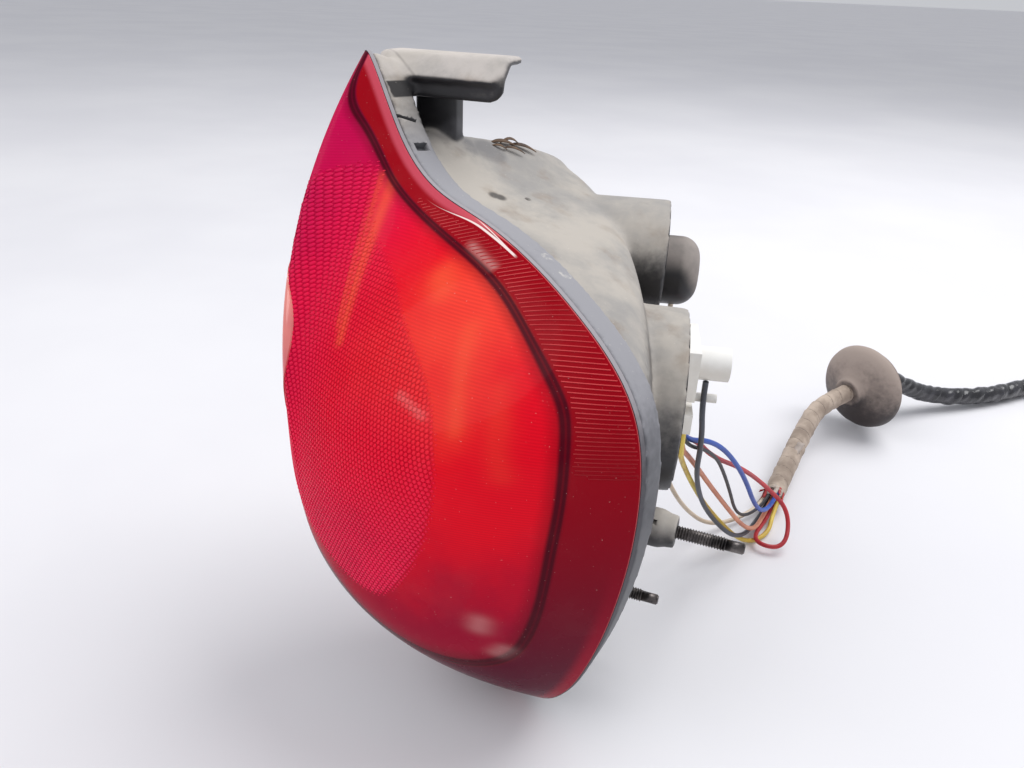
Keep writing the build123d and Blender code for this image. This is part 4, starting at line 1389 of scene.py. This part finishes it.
def cloth_finish():
    """Grey-brown cloth tape with a weave, and painted shade at the step of each lap."""
    finish = Finish("cloth_tape")
    place = finish.place()
    lap = finish.attribute("lap")
    drift = place.noise(90.0, 6.0)
    colour = drift.step(0.3, 0.7).blend(rgb(148, 132, 119), rgb(198, 181, 166))
    # Painted shade just past the step of each lap.
    colour = lap.step(0.0, 0.16, 0.6, 0.0).blend(colour, rgb(54, 46, 42))
    finish.set("Base Color", colour)
    finish.set("Roughness", drift.step(0.3, 0.7, 0.75, 0.9))
    finish.bump(place.noise(1400.0, 2.0), 0.25 * MM, 0.6)
    return finish.material


def black_tape_finish():
    """Glossy black tape, crinkled, with painted shade at the step of each lap."""
    finish = Finish("black_tape", Coat_Weight=0.3, Coat_Roughness=0.15)
    place = finish.place()
    drift = place.noise(120.0, 5.0)
    colour = drift.step(0.35, 0.7).blend(rgb(18, 17, 22), rgb(46, 45, 52))
    # Painted shade just past the step of each lap.
    finish.set("Base Color", finish.attribute("lap").step(0.0, 0.12, 0.7, 0.0).blend(colour, rgb(12, 12, 14)))
    finish.set("Roughness", drift.step(0.3, 0.7, 0.14, 0.32))
    finish.bump(place.noise(260.0, 5.0), 0.5 * MM, 0.7)
    return finish.material


def make_sheath(grommet):
    """Bundle of the wires in lapped cloth tape."""
    piece, line = taped_tube(
        "sheath_tape", SHEATH_ROUTE, SHEATH_DIAMETER, pitch=9.0, lap_height=0.07, crinkle=0.09, seed=3
    )
    show(piece, "cloth_tape", cloth_finish(), "wire_sheath")
    metres(SHEATH_ROUTE[0])


def make_frayed_tape():
    """Torn ends of tape at the sheath's mouth and a flap along it."""
    along = np.array(direction_of(SHEATH_ROUTE[0], SHEATH_ROUTE[1]))
    side = np.cross(along, RIM_UP)
    mouth = np.array(SHEATH_ROUTE[0])
    draws = np.random.default_rng(12)
    pale, red = [], []
    for turn in np.radians(np.linspace(-20, 200, 12)):
        spoke = side * math.cos(turn) + RIM_UP * math.sin(turn)
        reach = draws.uniform(3.0, 9.0)
        bend = draws.uniform(-1.5, 2.5)
        points = []
        for share in np.linspace(0, 1, 6):
            outward = SHEATH_DIAMETER / 2 - 0.5 + bend * share**2
            points.append(mouth + along * (2.0 - (reach + 2.0) * share) + spoke * outward)
        target = red if draws.uniform() < 0.3 else pale
        target.append(ribbon(points, np.cross(along, spoke), draws.uniform(0.9, 2.4)))
    flap_root = np.array(SHEATH_ROUTE[1]) + RIM_UP * 5.2 + side * 1.5
    flap = []
    for share in np.linspace(0, 1, 7):
        flap.append(flap_root + along * 7.0 * share + RIM_UP * (3.5 * share**2) + side * 2.0 * share)
    pale.append(ribbon(flap, side, 4.0))
    grey = plain_finish("torn_tape", rgb(196, 184, 176), rgb(140, 126, 116), 120.0, 0.85)
    show(joined("frayed_tape", pale), "cloth_tape", grey)
    thread = plain_finish("red_thread", rgb(190, 62, 62), rgb(150, 44, 48), 120.0, 0.7)
    show(joined("frayed_thread", red), "cloth_tape", thread)


def make_cable():
    """Cable in crinkled black tape, from the grommet to the plug."""
    along = direction_of(SHEATH_ROUTE[-2], SHEATH_ROUTE[-1])
    start = Vector(SHEATH_ROUTE[-1]) + along * GROMMET_PROFILE[-1][0]
    points = [tuple(start)] + CABLE_ROUTE
    piece, line = taped_tube(
        "cable_tape", points, CABLE_DIAMETER, pitch=19.0, lap_height=0.05, crinkle=0.16, seed=8
    )
    show(piece, "black_tape", black_tape_finish(), "cable")
    metres(points[0])


def make_grommet():
    """Rubber grommet with rounded edges."""
    along = direction_of(SHEATH_ROUTE[-2], SHEATH_ROUTE[-1])
    piece = new_object("grommet_rubber", *lathe(GROMMET_PROFILE, 96, SHEATH_ROUTE[-1], along))
    finish = dusty_finish("grommet_rubber", rgb(56, 48, 47), rgb(166, 151, 142), -0.75, 0.75, 0.5)
    return show(piece, "grommet_rubber", finish, "grommet")


def make_leaf_bits():
    """Dry leaf bits that lie on the bucket."""
    bits = []
    for start, middle, end, width in LEAF_BITS:
        points = []
        for t in np.linspace(0, 1, 9):
            bend = np.array(middle) * 2 * t * (1 - t)
            points.append(np.array(start) * (1 - t) ** 2 + bend + np.array(end) * t**2)
        bits.append(ribbon(points, (-0.5, 0.8, 0.3), width, 0.85))
    piece = joined("leaf_bits", bits)
    show(piece, "black_housing", plain_finish("dry_leaf", rgb(124, 98, 76), rgb(72, 55, 44), 200.0, 0.8))


def make_holders():
    """Bulb holders and plug with their edges rounded; the plug's pieces are given back."""
    white = dusty_finish("white_plastic", rgb(222, 217, 208), rgb(244, 242, 238), -0.6, 0.8, 0.42, grain=0.04)
    black = dusty_finish("holder_black", rgb(34, 33, 35), rgb(92, 88, 88), 0.3, 1.1, 0.45)
    plug = plain_finish("plug_black", rgb(56, 56, 60), rgb(36, 36, 39), 60.0, 0.45, grain=0.1)
    grey = plain_finish("latch_grey", rgb(150, 152, 156), rgb(120, 122, 128), 60.0, 0.45)
    looks = {
        "bulb_holder": (0.5, "white_plastic", white),
        "indicator_holder": (0.4, "cap_rubber", black),
        "plug_body": (0.5, "plug_plastic", plug),
        "plug_latch": (0.4, "latch_plastic", grey),
    }
    made = {}
    for node, (rounding, slot, finish) in looks.items():
        made[node] = show(rounded_copy(node, node + "_rounded", rounding), slot, finish, node)
    return [made["plug_body"], made["plug_latch"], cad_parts["plug_pins"]]


def cap_finish():
    """Black rubber cap with pale dust on its top and its outer end."""
    finish = Finish("cap_rubber")
    place = finish.place()
    cloud = place.noise(60.0, 5.0)
    facing = finish.normal().dot((0.62, 0.0, 0.78)) + (cloud - 0.5) * 0.3
    dust = facing.step(0.2, 0.72)
    dusty = cloud.step(0.35, 0.65).blend(rgb(128, 122, 118), rgb(156, 147, 141))
    finish.set("Base Color", dust.blend(rgb(24, 22, 25), dusty))
    finish.set("Roughness", dust.step(0.0, 1.0, 0.4, 0.8))
    finish.bump(place.noise(700.0), 0.05 * MM, 0.5)
    return finish.material


def node_finishes():
    """Finishes of the CAD nodes that show as they are."""
    silver = plain_finish("reflector_silver", rgb(226, 226, 230), rgb(204, 204, 210), 30.0, 0.12, 1.0)
    brass = plain_finish("contact_brass", rgb(214, 180, 104), rgb(176, 140, 72), 200.0, 0.35, 1.0)
    pale = plain_finish("clear_lens", rgb(242, 136, 124), rgb(214, 104, 108), 30.0, 0.12, coat=1.0)
    finishes = {
        "lens_seal": dusty_finish("sealant", rgb(70, 68, 74), rgb(160, 156, 160), -0.3, 0.9, 0.6),
        "holder_seal": plain_finish("black_rubber", rgb(46, 44, 46), rgb(28, 27, 29), 60.0, 0.6),
        "main_reflector": silver,
        "indicator_reflector": silver,
        "stop_bulb": plain_finish("bulb_glass", rgb(235, 235, 230), rgb(214, 214, 210), 40.0, 0.1),
        "indicator_bulb": plain_finish("amber_glass", rgb(246, 178, 80), rgb(224, 150, 60), 40.0, 0.1),
        "holder_contacts": brass,
        "plug_pins": plain_finish("pin_metal", rgb(206, 202, 194), rgb(170, 166, 160), 200.0, 0.35, 1.0),
        "indicator_lens": pale,
        "holder_cap": cap_finish(),
    }
    for name, material in finishes.items():
        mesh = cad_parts[name].data
        mesh.materials.clear()
        mesh.materials.append(material)


def make_camera():
    """Camera with the lens in front and the loom to its right."""
    ahead = Vector(CAMERA_AHEAD).normalized()
    right = Vector(CAMERA_RIGHT).normalized()
    upward = right.cross(ahead)
    data = bpy.data.cameras.new("camera")
    data.sensor_width = 36.0
    data.lens = CAMERA_LENS
    data.clip_start = 0.01
    camera = linked("camera", data)
    columns = (right, upward, -ahead, Vector(CAMERA_PLACE) * MM)
    for c, column in enumerate(columns):
        for r in range(3):
            camera.matrix_world[r][c] = column[r]
    bpy.context.scene.camera = camera


def area_light(name, place, target, size, power):
    data = bpy.data.lights.new(name, "AREA")
    data.shape = "ELLIPSE"
    data.size, data.size_y = size
    data.energy = power
    light = linked(name, data)
    light.location = place
    light.rotation_euler = (Vector(target) - Vector(place)).to_track_quat("-Z", "Y").to_euler()


def make_studio():
    """Pale floor, soft sky and two large soft lights."""
    level = FLOOR_LEVEL * MM
    corners = [(-9, -9, level), (9, -9, level), (90, 90, level), (-90, 90, level)]
    floor = new_object("floor", corners, [(0, 1, 2, 3)])
    paper = plain_finish("floor_paper", rgb(232, 231, 234), rgb(226, 225, 229), 3.0, 0.75)
    floor.data.materials.append(paper)
    world = bpy.data.worlds.new("sky")
    world.use_nodes = True
    background = world.node_tree.nodes["Background"]
    background.inputs["Color"].default_value = (0.93, 0.95, 1.0, 1.0)
    background.inputs["Strength"].default_value = 0.6
    bpy.context.scene.world = world
    area_light("key", (0.55, 0.75, 1.5), (-0.06, 0.0, 0.03), size=(1.4, 1.4), power=22.0)
    area_light("fill", (-1.2, -0.9, 1.3), (-0.05, 0.05, 0.0), size=(1.6, 1.6), power=12.0)


node_finishes()
red_lens = make_lens()
show(red_lens, "red_lens", lens_finish(), "lens")
red_pillows = pillow_finish()
show(make_pillows(red_lens, red_pillows), "red_lens", red_pillows)
red_ribs = rib_finish()
show(make_ribs(red_lens, red_ribs), "red_lens", red_ribs)
show(make_housing(), "black_housing", housing_finish(), "housing")
make_leaf_bits()
steel = plain_finish("stud_steel", rgb(116, 110, 108), rgb(60, 57, 58), 300.0, 0.36, metallic=0.85)
show(make_studs(steel), "stud_steel", steel, "mounting_studs")
plug_pieces = make_holders()
make_wires()
make_sheath(make_grommet())
make_frayed_tape()
make_cable()
make_studio()
make_camera()
bpy.context.scene.view_settings.view_transform = "Standard"
